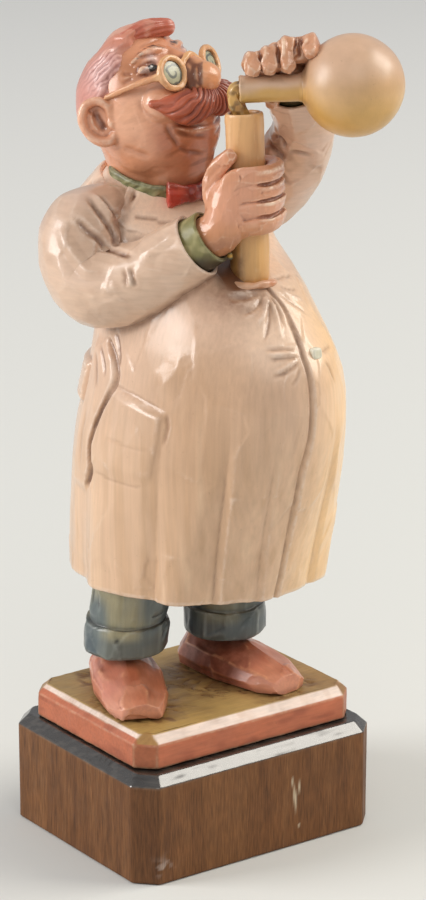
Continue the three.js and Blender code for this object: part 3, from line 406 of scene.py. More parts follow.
def newMaterial(name):  # an empty material, and a function that adds a node with its settings and inputs
    material = bpy.data.materials.new(name)
    material.use_nodes = True
    tree = material.node_tree
    tree.nodes.clear()

    def add(kind, out=0, settings=(), **inputs):
        node = tree.nodes.new("ShaderNode" + kind)
        for key, value in dict(settings).items():
            setattr(node, key, value)
        for key, value in inputs.items():
            numbered = key[0] == "i" and key[1:].isdigit()
            socket = node.inputs[int(key[1:]) if numbered else key.replace("_", " ")]
            if isinstance(value, bpy.types.NodeSocket):
                tree.links.new(value, socket)
            else:
                socket.default_value = value
        return node.outputs[out] if len(node.outputs) else None
    return material, add


def mixed(add, factor, *colours):  # the first colour turns into the second as the factor goes from 0 to 1
    first, second = ((*srgb(*colour), 1) if isinstance(colour, tuple) else colour for colour in colours)
    return add("Mix", out=2, settings={"data_type": "RGBA"}, i0=factor, i6=first, i7=second)


paintDefaults = dict(
    rough=0.4, glaze=0.3, glazeRough=0.22, glazeIndex=1.5, lacquer=False, specular=0.5, mottle=0.16,
    mottleSize=11, grain=0.10, grainSize=0.8, bump=0.10, speck=0.25, speckColour=(110, 70, 45),
    washAndShade=0.8, washAndShadeColour=(92, 52, 30), rubAndHighlight=0.3, rubAndHighlightColour=(243, 222, 200),
)


def paintedWood(name, **changes):
    # thin paint on carved wood: the paint attribute times a broad noise and a stretched grain noise, browned by
    # the washAndShade attribute, which holds brown wash in hollows and painted shade, paler by the
    # rubAndHighlight attribute, which holds worn edges and painted highlights, under a thin wax glaze
    look = {**paintDefaults, **changes}
    material, add = newMaterial(name)
    place = add("TexCoord", out=3)
    attribute = lambda key, out=2: add("Attribute", out=out, settings={"attribute_name": key})
    noise = lambda size, detail=3.0, vector=place: add(
        "TexNoise", Vector=vector, Scale=1000 / size, Detail=detail, Roughness=0.55)
    ranged = lambda value, low, high, least, greatest: add(
        "MapRange", Value=value, From_Min=low, From_Max=high, To_Min=least, To_Max=greatest)
    times = lambda first, second, clamp=False: add(
        "Math", settings={"operation": "MULTIPLY", "use_clamp": clamp}, i0=first, i1=second)
    vary = lambda value, amount: ranged(value, 0.25, 0.75, 1 - amount, 1 + amount)
    streak = noise(look["grainSize"], 4.0, attribute("lay", 1))
    tone = times(vary(noise(look["mottleSize"]), look["mottle"]), vary(streak, look["grain"]))
    coloured = add("VectorMath", settings={"operation": "SCALE"}, i0=attribute("paint", 0), Scale=tone)
    washAndShade, rubAndHighlight, rough = look["washAndShade"], look["rubAndHighlight"], look["rough"]
    patchy = times(attribute("washAndShade"), ranged(noise(2.6), 0.3, 0.6, 0.7 * washAndShade, 1.2 * washAndShade), True)
    browned = mixed(add, patchy, coloured, look["washAndShadeColour"])
    paleEdges = times(attribute("rubAndHighlight"), ranged(noise(1.7), 0.35, 0.6, 0.2 * rubAndHighlight, 1.3 * rubAndHighlight), True)
    withPaleEdges = mixed(add, paleEdges, browned, look["rubAndHighlightColour"])
    specks = ranged(noise(0.9, 2.0), 0.70, 0.76, 0, look["speck"])
    fine = times(noise(0.45, 2.0), 0.45)
    height = add("Math", settings={"operation": "MULTIPLY_ADD"}, i0=streak, i1=0.7, i2=fine)
    glaze = look["glaze"]
    if look["lacquer"]:  # thicker where the gloss attribute says
        glaze = ranged(attribute("gloss"), 0, 1, glaze, 1.0)
    shader = add(
        "BsdfPrincipled", Base_Color=mixed(add, specks, withPaleEdges, look["speckColour"]),
        Roughness=ranged(noise(5.0), 0.3, 0.7, rough - 0.08, rough + 0.1), Specular_IOR_Level=look["specular"],
        Normal=add("Bump", Height=height, Strength=0.5, Distance=look["bump"] / 1000),
        Coat_Weight=glaze, Coat_Roughness=look["glazeRough"], Coat_IOR=look["glazeIndex"])
    add("OutputMaterial", Surface=shader)
    return material


def piece(mesh, node, slotName, paint, washAndShade, rubAndHighlight, lay=None):
    # the attributes hold the paint, the brown wash with painted shade, the worn edges with painted highlights
    # and the place where the wood grain is read
    count = len(mesh.vertices)
    lay = pointsOf(mesh) * (1, 1, 0.06) if lay is None else lay
    columns = (("paint", "FLOAT_COLOR", "color", np.concatenate([paint, np.ones((count, 1))], axis=1)),
               ("washAndShade", "FLOAT", "value", np.clip(washAndShade + np.zeros(count), 0, 1)),
               ("rubAndHighlight", "FLOAT", "value", np.clip(rubAndHighlight + np.zeros(count), 0, 1)),
               ("lay", "FLOAT_VECTOR", "vector", lay / 1000))
    for key, kind, field, values in columns:
        mesh.attributes.new(key, kind, "POINT").data.foreach_set(field, values.ravel())
    mesh.polygons.foreach_set("use_smooth", np.ones(len(mesh.polygons), bool))
    mesh.materials.clear()
    mesh.materials.append(finishes[slotName])
    obj = bpy.data.objects.new(mesh.name, mesh)
    scene.collection.objects.link(obj)
    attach(obj, "root")
    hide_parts(node)


# Block and plinth

def slabShape(size, columns, rows, rings, under, over):
    # a slab on an eight-sided plan: loops of the plan, each shrunk by its inset at its level, closed below and
    # above by a grid blended from the loop's four sides and lifted by a function of the place
    cornerSteps = 6

    def loop(inset):
        half = np.array([size["width"], size["depth"]]) / 2 - inset
        cut = max(size["corner"] - inset * (2 - math.sqrt(2)), 0.2)
        sides = []
        for turn, count in enumerate((columns, rows, columns, rows)):
            along, away = half if turn % 2 == 0 else half[::-1]
            keys = [0, cornerSteps, count - cornerSteps, count]
            u = np.interp(np.arange(count), keys, [cut / 2 - along, cut - along, along - cut, along - cut / 2])
            v = np.interp(np.arange(count), keys, [cut / 2 - away, -away, -away, cut / 2 - away])
            cos, sin = math.cos(turn * math.pi / 2), math.sin(turn * math.pi / 2)
            sides.append(np.stack([u * cos - v * sin, u * sin + v * cos], axis=-1))
        plan = np.concatenate(sides)
        return 0.5 * plan + 0.25 * (np.roll(plan, 1, 0) + np.roll(plan, -1, 0))

    def cap(inset, level, lift):
        plan = loop(inset)
        closed = np.concatenate([plan, plan[:1]])
        a, b, c = columns, columns + rows, 2 * columns + rows
        front, right = closed[:a + 1], closed[a:b + 1]
        back, left = closed[b:c + 1][::-1], closed[c:][::-1]
        u = np.linspace(0, 1, columns + 1)[None, :, None]
        v = np.linspace(0, 1, rows + 1)[:, None, None]
        sheet = (1 - v) * front[None] + v * back[None] + (1 - u) * left[:, None] + u * right[:, None]
        sheet -= (1 - v) * ((1 - u) * front[0] + u * front[-1]) + v * ((1 - u) * back[0] + u * back[-1])
        height = level + lift(sheet[..., 0], sheet[..., 1])
        points = np.concatenate([sheet, height[..., None]], axis=-1).reshape(-1, 3)
        index = np.arange(len(points)).reshape(rows + 1, columns + 1)
        quads = np.stack([index[:-1, :-1], index[:-1, 1:], index[1:, 1:], index[1:, :-1]], axis=-1)
        return points, [quads.reshape(-1, 4)]

    ringAt = lambda inset, level: np.pad(loop(inset), ((0, 0), (0, 1)), constant_values=level)
    grid = np.stack([ringAt(*ring) for ring in rings])
    wall = ringFaces(*grid.shape[:2])[0]
    return joined([(grid.reshape(-1, 3), [wall]), cap(*rings[0], under), cap(*rings[-1], over)])


def slabRings(size, low, high, steps):  # levels up the wall and the bevel, with each edge softened
    bevel, soft = size["bevel"], 0.3
    wall = [(0, z) for z in np.linspace(low + soft, high - bevel - soft / 2, steps)]
    slope = [(bevel * t, high - bevel + bevel * t) for t in np.linspace(0.05, 0.95, 11)]
    return [(soft, low)] + wall + slope + [(bevel + soft / 2, high)]


flatFace = lambda x, y: 0 * x
walnut = dict(width=75, depth=62.5, height=28.8, corner=5.1, bevel=2.6, screwSide=23, scratchFace=-31.2)
blockScratches = [  # side, rise, and how far each runs; on the front face
    (9.6, 10.5, 0.5, 7.5), (10.4, 8, -0.3, 9), (11.2, 13.5, 0.4, 5), (9.2, 16, 0.3, 4), (11.6, 4.5, 0.2, 1.5)]


def buildBlock():
    # grain runs up the sides and slantwise over the top, where the bevel and ledge are lacquered nearly black
    size = walnut
    edge, face = size["height"] - size["bevel"], size["scratchFace"]
    screwHole = lambda x, y: 3.4 * ease(4.1, 3.8, np.hypot(np.abs(x) - size["screwSide"], y))
    rings = slabRings(size, 0, size["height"], 46)
    mesh = meshOf("walnutBlock", slabShape(size, 130, 110, rings, screwHole, flatFace), True)
    points = pointsOf(mesh)
    top = ease(edge - 0.2, edge + 0.1, points[:, 2])
    swell(mesh, 0.02 * softNoise(points * (1, 1, 0.3), 2.2, 5) + 0.03 * softNoise(points, 9, 6))
    scratch = cutInto(mesh, [fold([(x, face, z), (x + run, face, z + rise)], 0.7, 0.12, 1, taper=0.5)
                             for x, z, run, rise in blockScratches])
    points = pointsOf(mesh)
    x, y, z = points.T
    lines = softNoise(points * (1, 1, 0.09), 1.1, 11)
    broad = softNoise(points * (1, 1, 0.12), 8, 13)
    pastCorner = np.abs(x) + np.abs(y) - (size["width"] + size["depth"]) / 2 + size["corner"]
    slant = points @ np.array([[0.82, -0.57, 0], [0.57, 0.82, 0], [0, 0, 1]])
    strands = patches(slant * (1, 0.12, 1), 0.9, 17, 0, 0.6)
    chip = hump(0, 2.2, np.hypot(x + 31, z - 4.5)) * patches(points, 1.2, 19, 0.1, 0.5) * ease(-20, -26, y)
    paint = blended(
        (112, 72, 40), (ease(0.1, 0.7, lines) * 0.4, (80, 48, 26)),
        (ease(0.1, 0.8, broad) * 0.5, (128, 86, 50)), (ease(-0.1, -0.7, lines) * 0.3, (136, 94, 58)),
        (ease(-0.6, 0, pastCorner) * 0.45, (84, 50, 26)),
        (top, (34, 29, 26)), (top * strands * 0.35, (84, 78, 72)), (scratch, (196, 178, 150)),
        (chip * 0.7, (176, 158, 146)))
    paleEdges = 0.5 * hump(edge, 0.25, z) * patches(points, 6, 20, -0.4, 0.6)
    gloss = top * patches(points * (0.2, 1, 1), 1, 18, -1.2, -0.3)
    mesh.attributes.new("gloss", "FLOAT", "POINT").data.foreach_set("value", gloss)
    movePoints(mesh, np.maximum(points, (-np.inf, -np.inf, 0)))  # nothing under the floor
    lay = np.where(top[:, None] > 0.5, slant * (1, 0.05, 1), points * (1, 1, 0.08))
    piece(mesh, "walnut_base", "walnut", paint, 0, paleEdges, lay)


plinth = dict(width=67.8, depth=52.7, low=29.1, high=37.8, corner=4.3, bevel=2.4)
feet = dict(
    right=dict(side=-16.4, back=7.5, splay=24, legLean=3.8, facets=51),
    left=dict(side=12.8, back=3.6, splay=8, legLean=0.5, facets=57),
)
shoePlan = dict(half=7, reach=17, middle=6.5)


def footPlace(foot):  # a shoe's own frame: toe along -Y, turned out by its splay
    place = Matrix.Translation((foot["side"], foot["back"], plinth["high"] + seam))
    return place @ spin(math.copysign(foot["splay"], foot["side"]), "Z")


def shoeNearness(x, y, spread):  # 1 beside a shoe's outline, fading over that many millimetres
    near = np.zeros_like(x)
    for foot in feet.values():
        local = placed(xyz(x, y, 0), footPlace(foot).inverted())
        across = np.maximum(np.abs(local[..., 0]) - shoePlan["half"], 0)
        along = np.maximum(np.abs(local[..., 1] + shoePlan["middle"]) - shoePlan["reach"], 0)
        near = np.maximum(near, 1 - ease(spread * 0.3, spread, np.hypot(across, along)))
    return near


def buildPlinth():
    # short gouge cuts on the top, deepest beside the shoes; pale bevels along the edges, none at the corners
    size = plinth
    low, high, bevel, corner = size["low"], size["high"], size["bevel"], size["corner"]
    between = lambda x, y, spread: hump(0, spread, np.hypot(x + 2, y + 3))  # 1 midway between the shoes

    def tooled(x, y):
        flat = xyz(x, y, 0)
        slant = flat @ np.array([[0.8, -0.6, 0], [0.6, 0.8, 0], [0, 0, 1]])
        cuts = np.abs(softNoise(slant * (1, 0.4, 1), 1.3, 21))
        deep = most(shoeNearness(x, y, 5) * 0.8, between(x, y, 11)) * patches(flat, 3.4, 25, -0.2, 0.4)
        return 0.12 * softNoise(flat, 6, 23) - 0.6 * deep * (1 - cuts) ** 2

    rings = slabRings(size, low, high, 16)
    mesh = meshOf("paintedPlinth", slabShape(size, 190, 150, rings, flatFace, tooled), True)
    points = pointsOf(mesh)
    points = swell(mesh, 0.06 * softNoise(points, 1.6, 27) + 0.08 * softNoise(points, 5, 28))
    x, y, z = points.T
    pastX, pastY = np.abs(x) - size["width"] / 2, np.abs(y) - size["depth"] / 2
    washAndShade, rubAndHighlight = handled(mesh, 3, 0.06, 0.08)
    atEnds = ease(-0.3, 0.3, pastX + bevel) * ease(0.5, -0.5, pastY + corner)
    edgeLine = high - bevel + 0.25 + atEnds
    edgeLine += 0.10 * softNoise(points, 6, 31) + 0.05 * softNoise(points, 1.2, 33)
    topLine = high - 0.2 + 0.07 * softNoise(points, 4, 34)
    ragged = corner + 0.4 - 0.4 * softNoise(points, 2, 36)
    atCorner = ease(-0.4, 0.4, pastX + ragged) * ease(-0.4, 0.4, pastY + ragged)
    above = ease(-0.12, 0.12, z - edgeLine)
    strip = above * (1 - ease(-0.12, 0.12, z - topLine))
    strip *= (1 - atCorner) * ease(-0.7, -0.3, most(pastX, pastY) + bevel)
    olive = blended(
        (172, 142, 88), (patches(points, 9, 41, 0, 0.8) * 0.6, (148, 118, 76)),
        (patches(points, 5, 42, 0.1, 0.8) * 0.5, (182, 146, 90)), (ease(12, 30, x) * 0.4, (176, 130, 76)),
        (hump(0, 16, np.hypot(x + 24, y + 22)) * 0.6, (178, 142, 76)))
    cream = blended((232, 210, 196), (patches(points, 2.5, 44, 0, 0.7) * 0.4, (206, 174, 152)))
    paint = blended(
        (186, 104, 70), (patches(points * (0.3, 0.3, 1), 1.5, 43, 0, 0.8) * 0.55, (146, 72, 46)),
        (patches(points, 6, 45, 0.1, 0.8) * 0.4, (192, 112, 80)), (atCorner * 0.55, (140, 78, 40)),
        (above, olive), (above * atCorner * 0.5, (134, 84, 44)), (strip, cream))
    flat = above * (1 - strip)
    # painted shadow round the shoes and between them on the top, and painted shade along the plinth's foot
    paintedShoeShadow = shoeNearness(x, y, 6) * (0.25 + 0.5 * patches(points, 1.8, 46, -0.1, 0.5))
    paintedShoeShadow = most(paintedShoeShadow, 0.55 * between(x, y, 9) * patches(points, 2.2, 47, -0.2, 0.4))
    washAndShade = most(washAndShade * 0.8, flat * paintedShoeShadow, 0.8 * ease(low + 0.9, low, z))
    rubAndHighlight *= 1 - 0.9 * flat
    piece(mesh, "plinth", "plinth_paint", paint, washAndShade, rubAndHighlight, points * (0.12, 1, 1))


# Shoes and trouser legs

shoes = dict(
    rows=[(-12, 5.6, 8.2), (-9.5, 7.8, 10), (-2, 9, 10.4), (6, 9.4, 9.6), (14, 9, 7.6), (20, 7.6, 6.4),
          (25, 5.2, 4.6)],  # forward, half width, height
    outline=[(-0.92, 0), (0.92, 0), (1, 0.3), (0.86, 0.64), (0.12, 1), (-0.12, 1), (-0.86, 0.64), (-1, 0.3)],
    cuts=[fold([(-8.8, 8, 1.4), (-9.4, -6, 1.3), (-7.6, -19, 1.2)], 0.9, 0.25, 0.4),
          fold([(-6.6, 5, 8.2), (-7.4, -2, 7.6), (-6.2, -9, 7.4)], 1.4, 0.3, 0.45)],
)


def buildShoe(name, foot):
    # flat cuts: the outline's straight sides, scaled by each row's half width and height and joined straight to
    # the next row, with the corners then eased
    rows, outline = np.array(shoes["rows"], float), np.array(shoes["outline"] + shoes["outline"][:1], float)
    steps = np.linspace(0, len(rows) - 1, 20 * (len(rows) - 1) + 1)
    around = np.arange(0, len(outline) - 1, 1 / 16)
    u, v = (np.interp(around, np.arange(len(outline)), column) for column in outline.T)
    ends = np.linspace(0.05, 0.95, 12)
    share = np.concatenate([ends, np.ones(len(steps)), ends[::-1]])[:, None]
    steps = np.pad(steps, len(ends), mode="edge")[:, None]
    reach, half, height = (np.interp(steps, np.arange(len(rows)), column) for column in rows.T)
    middle = 0.45 * height
    grid = xyz(share * half * u, -reach, middle + share * (height * v - middle))
    mesh = meshOf(name + "CarvedShoe", shellOf(grid))
    movePoints(mesh, averaged(pointsOf(mesh), edgesOf(mesh), 2, 0.5))
    faceted(mesh, 9, 0.75, foot["facets"], 5, (1, 0.7, 1))
    sole = cutInto(mesh, mirrored(shoes["cuts"]))
    local, normals = pointsOf(mesh), normalsOf(mesh)
    movePoints(mesh, placed(local, footPlace(foot)))
    washAndShade, rubAndHighlight = handled(mesh, 5, 0.12, 0.10)
    x, y, z = local.T
    # painted light: faces turned towards the figure's right and the toe are paler
    paint = blended(
        (188, 112, 78), (ease(-0.15, 0.5, -normals[:, 0]) * 0.85, (206, 130, 108)),
        (ease(15, 21, -y) * 0.5, (222, 156, 124)), (patches(local, 5, 63, 0.1, 0.8) * 0.5, (172, 88, 56)),
        (patches(local, 2.4, 65, 0, 0.7) * 0.25, (226, 158, 128)))
    # painted shade under the trouser cuff and along the sole
    ankle = 0.6 * ease(8.4, 10.2, z) + 0.5 * ease(1.9, 0.1, z)
    if name == "left":  # painted shadow of the leg and coat behind the instep
        ankle = most(ankle, 0.85 * ease(19, 9, -y) * ease(0.4, -0.1, normals[:, 0]))
    washAndShade = most(washAndShade * 0.8, sole, ankle)
    piece(mesh, name + "_shoe", "shoe_paint", paint, washAndShade, rubAndHighlight, local * (1, 0.1, 1))


trousers = dict(
    radius=10.1, foot=48.8, top=75.7, turnUp=8, thickness=1, taper=0.7,
    # each leg's paint, the left one darker as painted shade, and its share of pale patches of painted highlight
    paint=dict(right=((96, 106, 104), 0.85), left=((64, 70, 64), 0.35)),  # and the share of pale patches
)


def buildTrouser(name, foot):
    # a turned profile with a stepped turn-up, cut into broad flats and leaning outward towards its foot
    radius, low, high = (trousers[key] for key in ("radius", "foot", "top"))
    cuff, edge = radius + trousers["thickness"], low + trousers["turnUp"]
    sole = cuff - trousers["taper"]
    profile = [(0, low + 0.8), (sole - 1, low + 0.4), (sole, low), (cuff - 0.1, low + 0.8), (cuff, edge - 1.6),
               (cuff - 0.1, edge - 0.5), (cuff - 0.4, edge), (radius - 0.5, edge + 0.1),
               (radius - 0.6, edge + 0.8), (radius - 0.1, edge + 3), (radius, edge + 8), (radius, high),
               (0, high)]
    mesh = meshOf(name + "TrouserLeg", shellOf(turnedGrid(profile, 150, 110)))
    points = pointsOf(mesh)
    sag = 0.3 * softNoise(points * (1, 1, 1.6), 5, 71) * ease(edge, edge + 3, points[:, 2])
    wave = 0.5 * softNoise(points * (1, 1, 0), 6, 73) * hump(edge, 3, points[:, 2])
    movePoints(mesh, swell(mesh, sag) + wave[:, None] * (0, 0, 1))
    local = faceted(mesh, 8, 0.6, foot["facets"] + 24, 4, (1, 1, 0.45))
    z = local[:, 2]
    lean = math.copysign(foot["legLean"], foot["side"]) * (z - low) / (high - low)
    movePoints(mesh, local + xyz(foot["side"] - lean, foot["back"], 0))
    washAndShade, rubAndHighlight = handled(mesh, 4, 0.10, 0.09)
    streak = softNoise(local * (1, 1, 0.12), 1.6, 77)
    broad = softNoise(local * (1, 1, 0.6), 7, 79)
    base, pale = trousers["paint"][name]
    paint = blended(
        base, (ease(0, 0.8, streak) * 0.4, (72, 82, 88)), (ease(-0.05, 0.5, broad) * pale, (158, 148, 112)),
        (ease(0, 0.6, -broad) * 0.6, (60, 70, 78)), (ease(edge - 1, edge - 4, z) * 0.7, (54, 70, 80)),
        (ease(-0.1, -0.7, streak) * 0.3, (140, 148, 144)))
    # painted shade under the coat's hem at the top of the leg
    washAndShade = most(washAndShade, 0.75 * ease(64, 71, z), 0.6 * hump(edge + 0.3, 0.5, z))
    rubAndHighlight = most(rubAndHighlight * 0.5, hump(edge - 0.35, 0.35, z) * patches(local, 4, 80, -0.4, 0.3))
    piece(mesh, name + "_trouser_leg", "trouser_paint", paint, washAndShade, rubAndHighlight)


# Coat: places on it are an angle from the front, positive to the figure's left, and a rise above the hem

coat = dict(
    rows=[(0, 34.5, 30, 32, -1), (18, 40.5, 30.5, 31.8, -2), (37, 47.5, 30, 30.6, -3), (51, 50.5, 27, 28, -4),
          (63, 48.5, 25, 25.5, -3), (74, 38.5, 25.5, 23.5, 0), (84, 24, 27, 23.5, 4), (94, 7, 28, 23, 10),
          (101, -2.5, 25.5, 14.5, 13)],
    top=101, slope=0.2, slopeStart=80, neckBack=13.5,
    closure=[(0, 1.3), (20, 0), (37, -1.8), (46, -0.3), (56, -0.1), (66, 0.1), (71, 2.1), (76, 3.4), (81, 1.2),
             (101, 1.5)],
    flutes=[(-72, 0), (-62, 0.3), (-55.5, -0.6), (-50, 0.3), (-42, 0.35), (-32, -0.2), (-28.6, -0.9),
            (-25.4, 0.9), (-18, 0.8), (-11.5, 0.3), (-9, -0.5), (-6.5, 0.35), (-2, 0), (4, 0), (13, 0.5),
            (20, 0.1), (24.5, -0.8), (28, 0.6), (40, 0.2), (52, -0.5), (60, 0.3), (72, 0)],
    fluteSlant=0.18, pocketFront=-63.8, pocketFoot=31,
    pocketTop=[(-100, 54.8), (-92, 54.2), (-88, 53.4), (-77.6, 52.5), (-65.6, 51), (-60, 50.6)],
    sideCrease=[(25, -98), (31, -94), (37.4, -96.6), (46.8, -92.5), (54.8, -87.4), (59.6, -89), (64, -98)],
    lapelFoot=[(-64, 94.6), (-57.8, 93.4), (-41.3, 92.8), (-26.3, 91.5), (0, 90.5)],
    collar=dict(
        side=-1.2, inner=13.6, fall=8.5, spread=6.4, thickness=1.8, opening=44, drop=5.5, stand=1.5, root=5),
    lip=dict(reach=0.9, along=2, ends=(-105, 50), radii=[0.66, 0.935, 1.1, 0.99, 1.1, 0.935, 0.66]),
)


def crease(places, dark=0.4, width=0.9, depth=0.35):
    return fold(places, width, depth, dark)


def pucker(places, depth=-0.4, width=1):
    return fold(places, width, depth, 0, 1)


coatFolds = [
    fold([(-98, 64.5), (-89, 60), (-87, 55), (-92.5, 47), (-96.6, 37.5), (-94, 31), (-98, 25.5)],
         1.1, 0.9, 0.85, 1, 0.05),
    fold([(-104, 62), (-97, 58.5), (-93, 54.5)], 1.2, 0.5, 0.8),
    fold([(-90, 66.5), (-87.5, 62.5), (-87, 58)], 1.2, 0.5, 0.8, taper=0.15),
    fold([(-108, 60), (-103, 56), (-99, 51)], 1.2, 0.4, 0.6),
    fold([(-104, 47), (-105, 38), (-103, 28)], 1.4, 0.3, 0.25),
    fold([(-89.5, 54.4), (-84, 53.6), (-77.6, 53.1), (-66, 51.4)], 0.9, 0.2, 0.35, taper=0.08),
    fold([(-63.6, 51), (-62, 47), (-62.4, 42)], 0.9, 0.4, 0.6, taper=0.25),
    fold([(-66, 50.5), (-64.6, 46.5), (-64.4, 38), (-64.4, 32)], 0.8, 0.1, 0.16, taper=0.15),
    fold([(-92, 31), (-80, 30.6), (-66, 30.8)], 0.8, 0.15, 0.25, taper=0.12),
    fold([(-88, 41.2), (-76, 40.6), (-65, 40.8)], 0.8, 0.15, 0.18),
    crease([(-1, 79.4), (-7, 75.6), (-14, 72), (-20, 69.4)], 0.6, 1, 0.6),
    crease([(-2, 79.4), (-13, 76.6), (-26, 75)], 0.75, 1.2, 0.7),
    crease([(0.4, 79.4), (-1.6, 75.6), (-3.4, 72)]),
    crease([(-2.7, 79.2), (-14.8, 78.6), (-27, 78.6)], 0.9, 1.6, 0.8),
    pucker([(-1.6, 79), (-9, 75.8), (-19, 72.6)], -0.8, 1.1),
    pucker([(-0.4, 78.6), (-4, 74.4), (-9, 70)], -0.6, 1.1),
    pucker([(1.6, 78.6), (1.4, 76), (1.2, 73)], width=0.9),
    crease([(7, 81), (18, 81), (31, 80.4)]),
    crease([(7.6, 80), (16, 78.8), (26, 78)]),
    crease([(5.6, 78.8), (12, 76), (19, 73.4)]),
    pucker([(6.4, 79.4), (14, 77.4), (23, 75.8)], -0.5),
    crease([(-21.5, 68.3), (-11.7, 68.2), (-2, 67.6)], 0.35, 1),
    pucker([(-21, 67.1), (-11.7, 67.1), (-1.6, 66.8)], -0.6),
    crease([(-20, 66), (-11, 66.2), (-2, 66.2)], 0.4, 1),
    crease([(-22, 61.8), (-11, 63.6), (-2.4, 65.6)], 0.45),
    pucker([(-20, 63), (-11, 64.6), (-3, 66)]),
    crease([(-12, 59.6), (-8, 61.6), (-3.4, 64.6)]),
    crease([(12.5, 66.4), (18, 66.2), (27, 66)], 0.35),
    crease([(12, 64.6), (15.5, 62.2), (17.4, 58.6)]),
    fold([(-57.9, 67.5), (-60.4, 62.6), (-65.2, 57.8), (-70, 55.6)], 4.5, -0.7, 0, 1.2),
    fold([(-132, 96), (-118, 91), (-104, 86)], 3, 0.8, 0.4),
    fold([(128, 60), (150, 63), (180, 62), (210, 64), (232, 60)], 3, 0.6, 0.3),
    fold([(180, 92), (179, 75), (180, 58)], 0.9, 0.35, 0.55, taper=0.06),
    fold([(180, 44), (181, 24), (180, 1)], 1.6, 1.1, 0.8, taper=0.05),
]
neckFolds = [  # side, back and height of the rolls between the collar and the shoulder, and the lapel's notch
    fold([(-15.7, 22.2, 170.1), (-19, 19.2, 167), (-21.9, 9, 164.5), (-21.9, 1.5, 161)],
         1.5, 0.9, 0.85, taper=0.12),
    fold([(-17.7, 16, 169.3), (-19.3, 7.6, 166.3), (-19.2, 1.9, 163.6)], 1.2, 0.7, 0.7, taper=0.2),
    fold([(-18.7, 17.4, 168.2), (-20.7, 8.2, 165.4), (-20.6, 1.7, 162.4)], 1.2, -0.8, 0, 1),
    fold([(-17.2, 12, 169.2), (-18.4, 6, 166.6), (-18, 2.2, 164.6)], 1, -0.6, 0, 1),
    fold([(-12.9, 6, 169.5), (-14.8, 4.2, 167.6), (-16.4, 2.9, 165.4)], 1.1, 0.9, 1, taper=0.15),
    fold([(-17.2, 1.3, 164.4), (-12.8, -2.4, 163.8), (-8.3, -5.8, 162.5)], 0.9, 0.35, 0.65, taper=0.1),
]
sleeves = dict(
    right=dict(stops=[(-12, -13, 90.5), (-25, -11, 88), (-26.9, -3, 78), (-21, 9, 80.5), (-12.8, 20.6, 90.37)],
               radii=[9.6, 11.2, 10.9, 9.8, 8.3], facets=91, paint=(215, 183, 158)),
    left=dict(stops=[(12, -13, 90.5), (25, -8, 92.5), (27.8, 3, 102), (26.6, 11, 113), (15.22, 21.3, 127.37)],
              radii=[9.6, 10.6, 9.3, 7.9, 7.6], facets=95, paint=(214, 176, 148)),
)
tube = dict(radius=4.8, length=43.5, wall=1.1, bore=8, lean=4.2, reach=25.2, footRise=78.6)
tubeFoot = np.array([0, -tube["reach"], hemLevel + tube["footRise"]])
tubeAxis = np.array([0, math.sin(math.radians(tube["lean"])), math.cos(math.radians(tube["lean"]))])
tubeSide = np.array([-0.81, 0.58, 0.0])  # towards the painted shadow beside the tube


def onTube(along):
    return tubeFoot + tubeAxis * along


def fromHem(stops):  # side, forward and rise above the hem as a point
    return np.asarray(stops, float) * (1, -1, 1) + (0, 0, hemLevel)


def coatSkin(degrees, rise, grow):
    # the egg section of the rows, swelled by the hem's folds, then tipped: near the neck z falls to the front
    fall = 1 - ease(0, 44, rise)
    waves = 0.9 * np.cos(np.radians(9 * degrees + 35)) + 0.35 * np.cos(np.radians(17 * degrees + 80))
    point = eggPoints(coat["rows"], degrees, np.clip(rise, 0, coat["top"]), grow + fall * waves)
    tip = coat["slope"] * ease(coat["slopeStart"], coat["top"], rise) * (coat["neckBack"] - point[..., 1])
    point[..., 2] = hemLevel + rise - tip
    return point


def curveOn(table, x):  # a line through a few given places, read at x
    places = np.array(sorted(table), float)
    return np.interp(x, places[:, 0], places[:, 1])


def coatRelief(a, r):
    # height of the cloth above the plain coat: the left front over the right, the flutes, the pocket, the strip
    # behind the side crease, the back belt and the lapels, each a flat patch with eased edges
    past = a - curveOn(coat["closure"], r)
    below = 1 - ease(80, 84, r)
    height = ease(-0.3, 1, past) * (1 - ease(8, 80, past)) * below - 0.7 * hump(-0.7, 0.7, past) * below
    height += curveOn(coat["flutes"], a + coat["fluteSlant"] * r) * (1 - ease(26, 58, r))
    side, front = curveOn(coat["sideCrease"], r), coat["pocketFront"]
    top, foot = curveOn(coat["pocketTop"], a), coat["pocketFoot"] + 0.03 * (a + 80)
    across = ease(side - 0.2, side + 3, a) * ease(front + 1.4, front - 2.6, a)
    bulge = 0.8 + 0.7 * ease(36, 51, r) * ease(-94, -78, a)
    height += bulge * across * ease(foot - 0.8, foot + 3.5, r) * ease(top + 0.3, top - 2.2, r)
    height += ease(-112.5, -110, a) * ease(side, side - 1.6, a) * ease(24, 26.5, r) * ease(64, 60, r)
    behind = ease(67.5, 65.5, np.abs(np.mod(a + 360, 360) - 180))
    height += 1.7 * behind * ease(45.6, 46.6, r) * ease(56.2, 55.2, r)
    height -= 0.3 * behind * (hump(47.6, 0.4, r) + hump(54.2, 0.4, r))
    return height + ease(66, 62, np.abs(a)) * ease(-0.5, 0.4, r - curveOn(coat["lapelFoot"], -np.abs(a)))


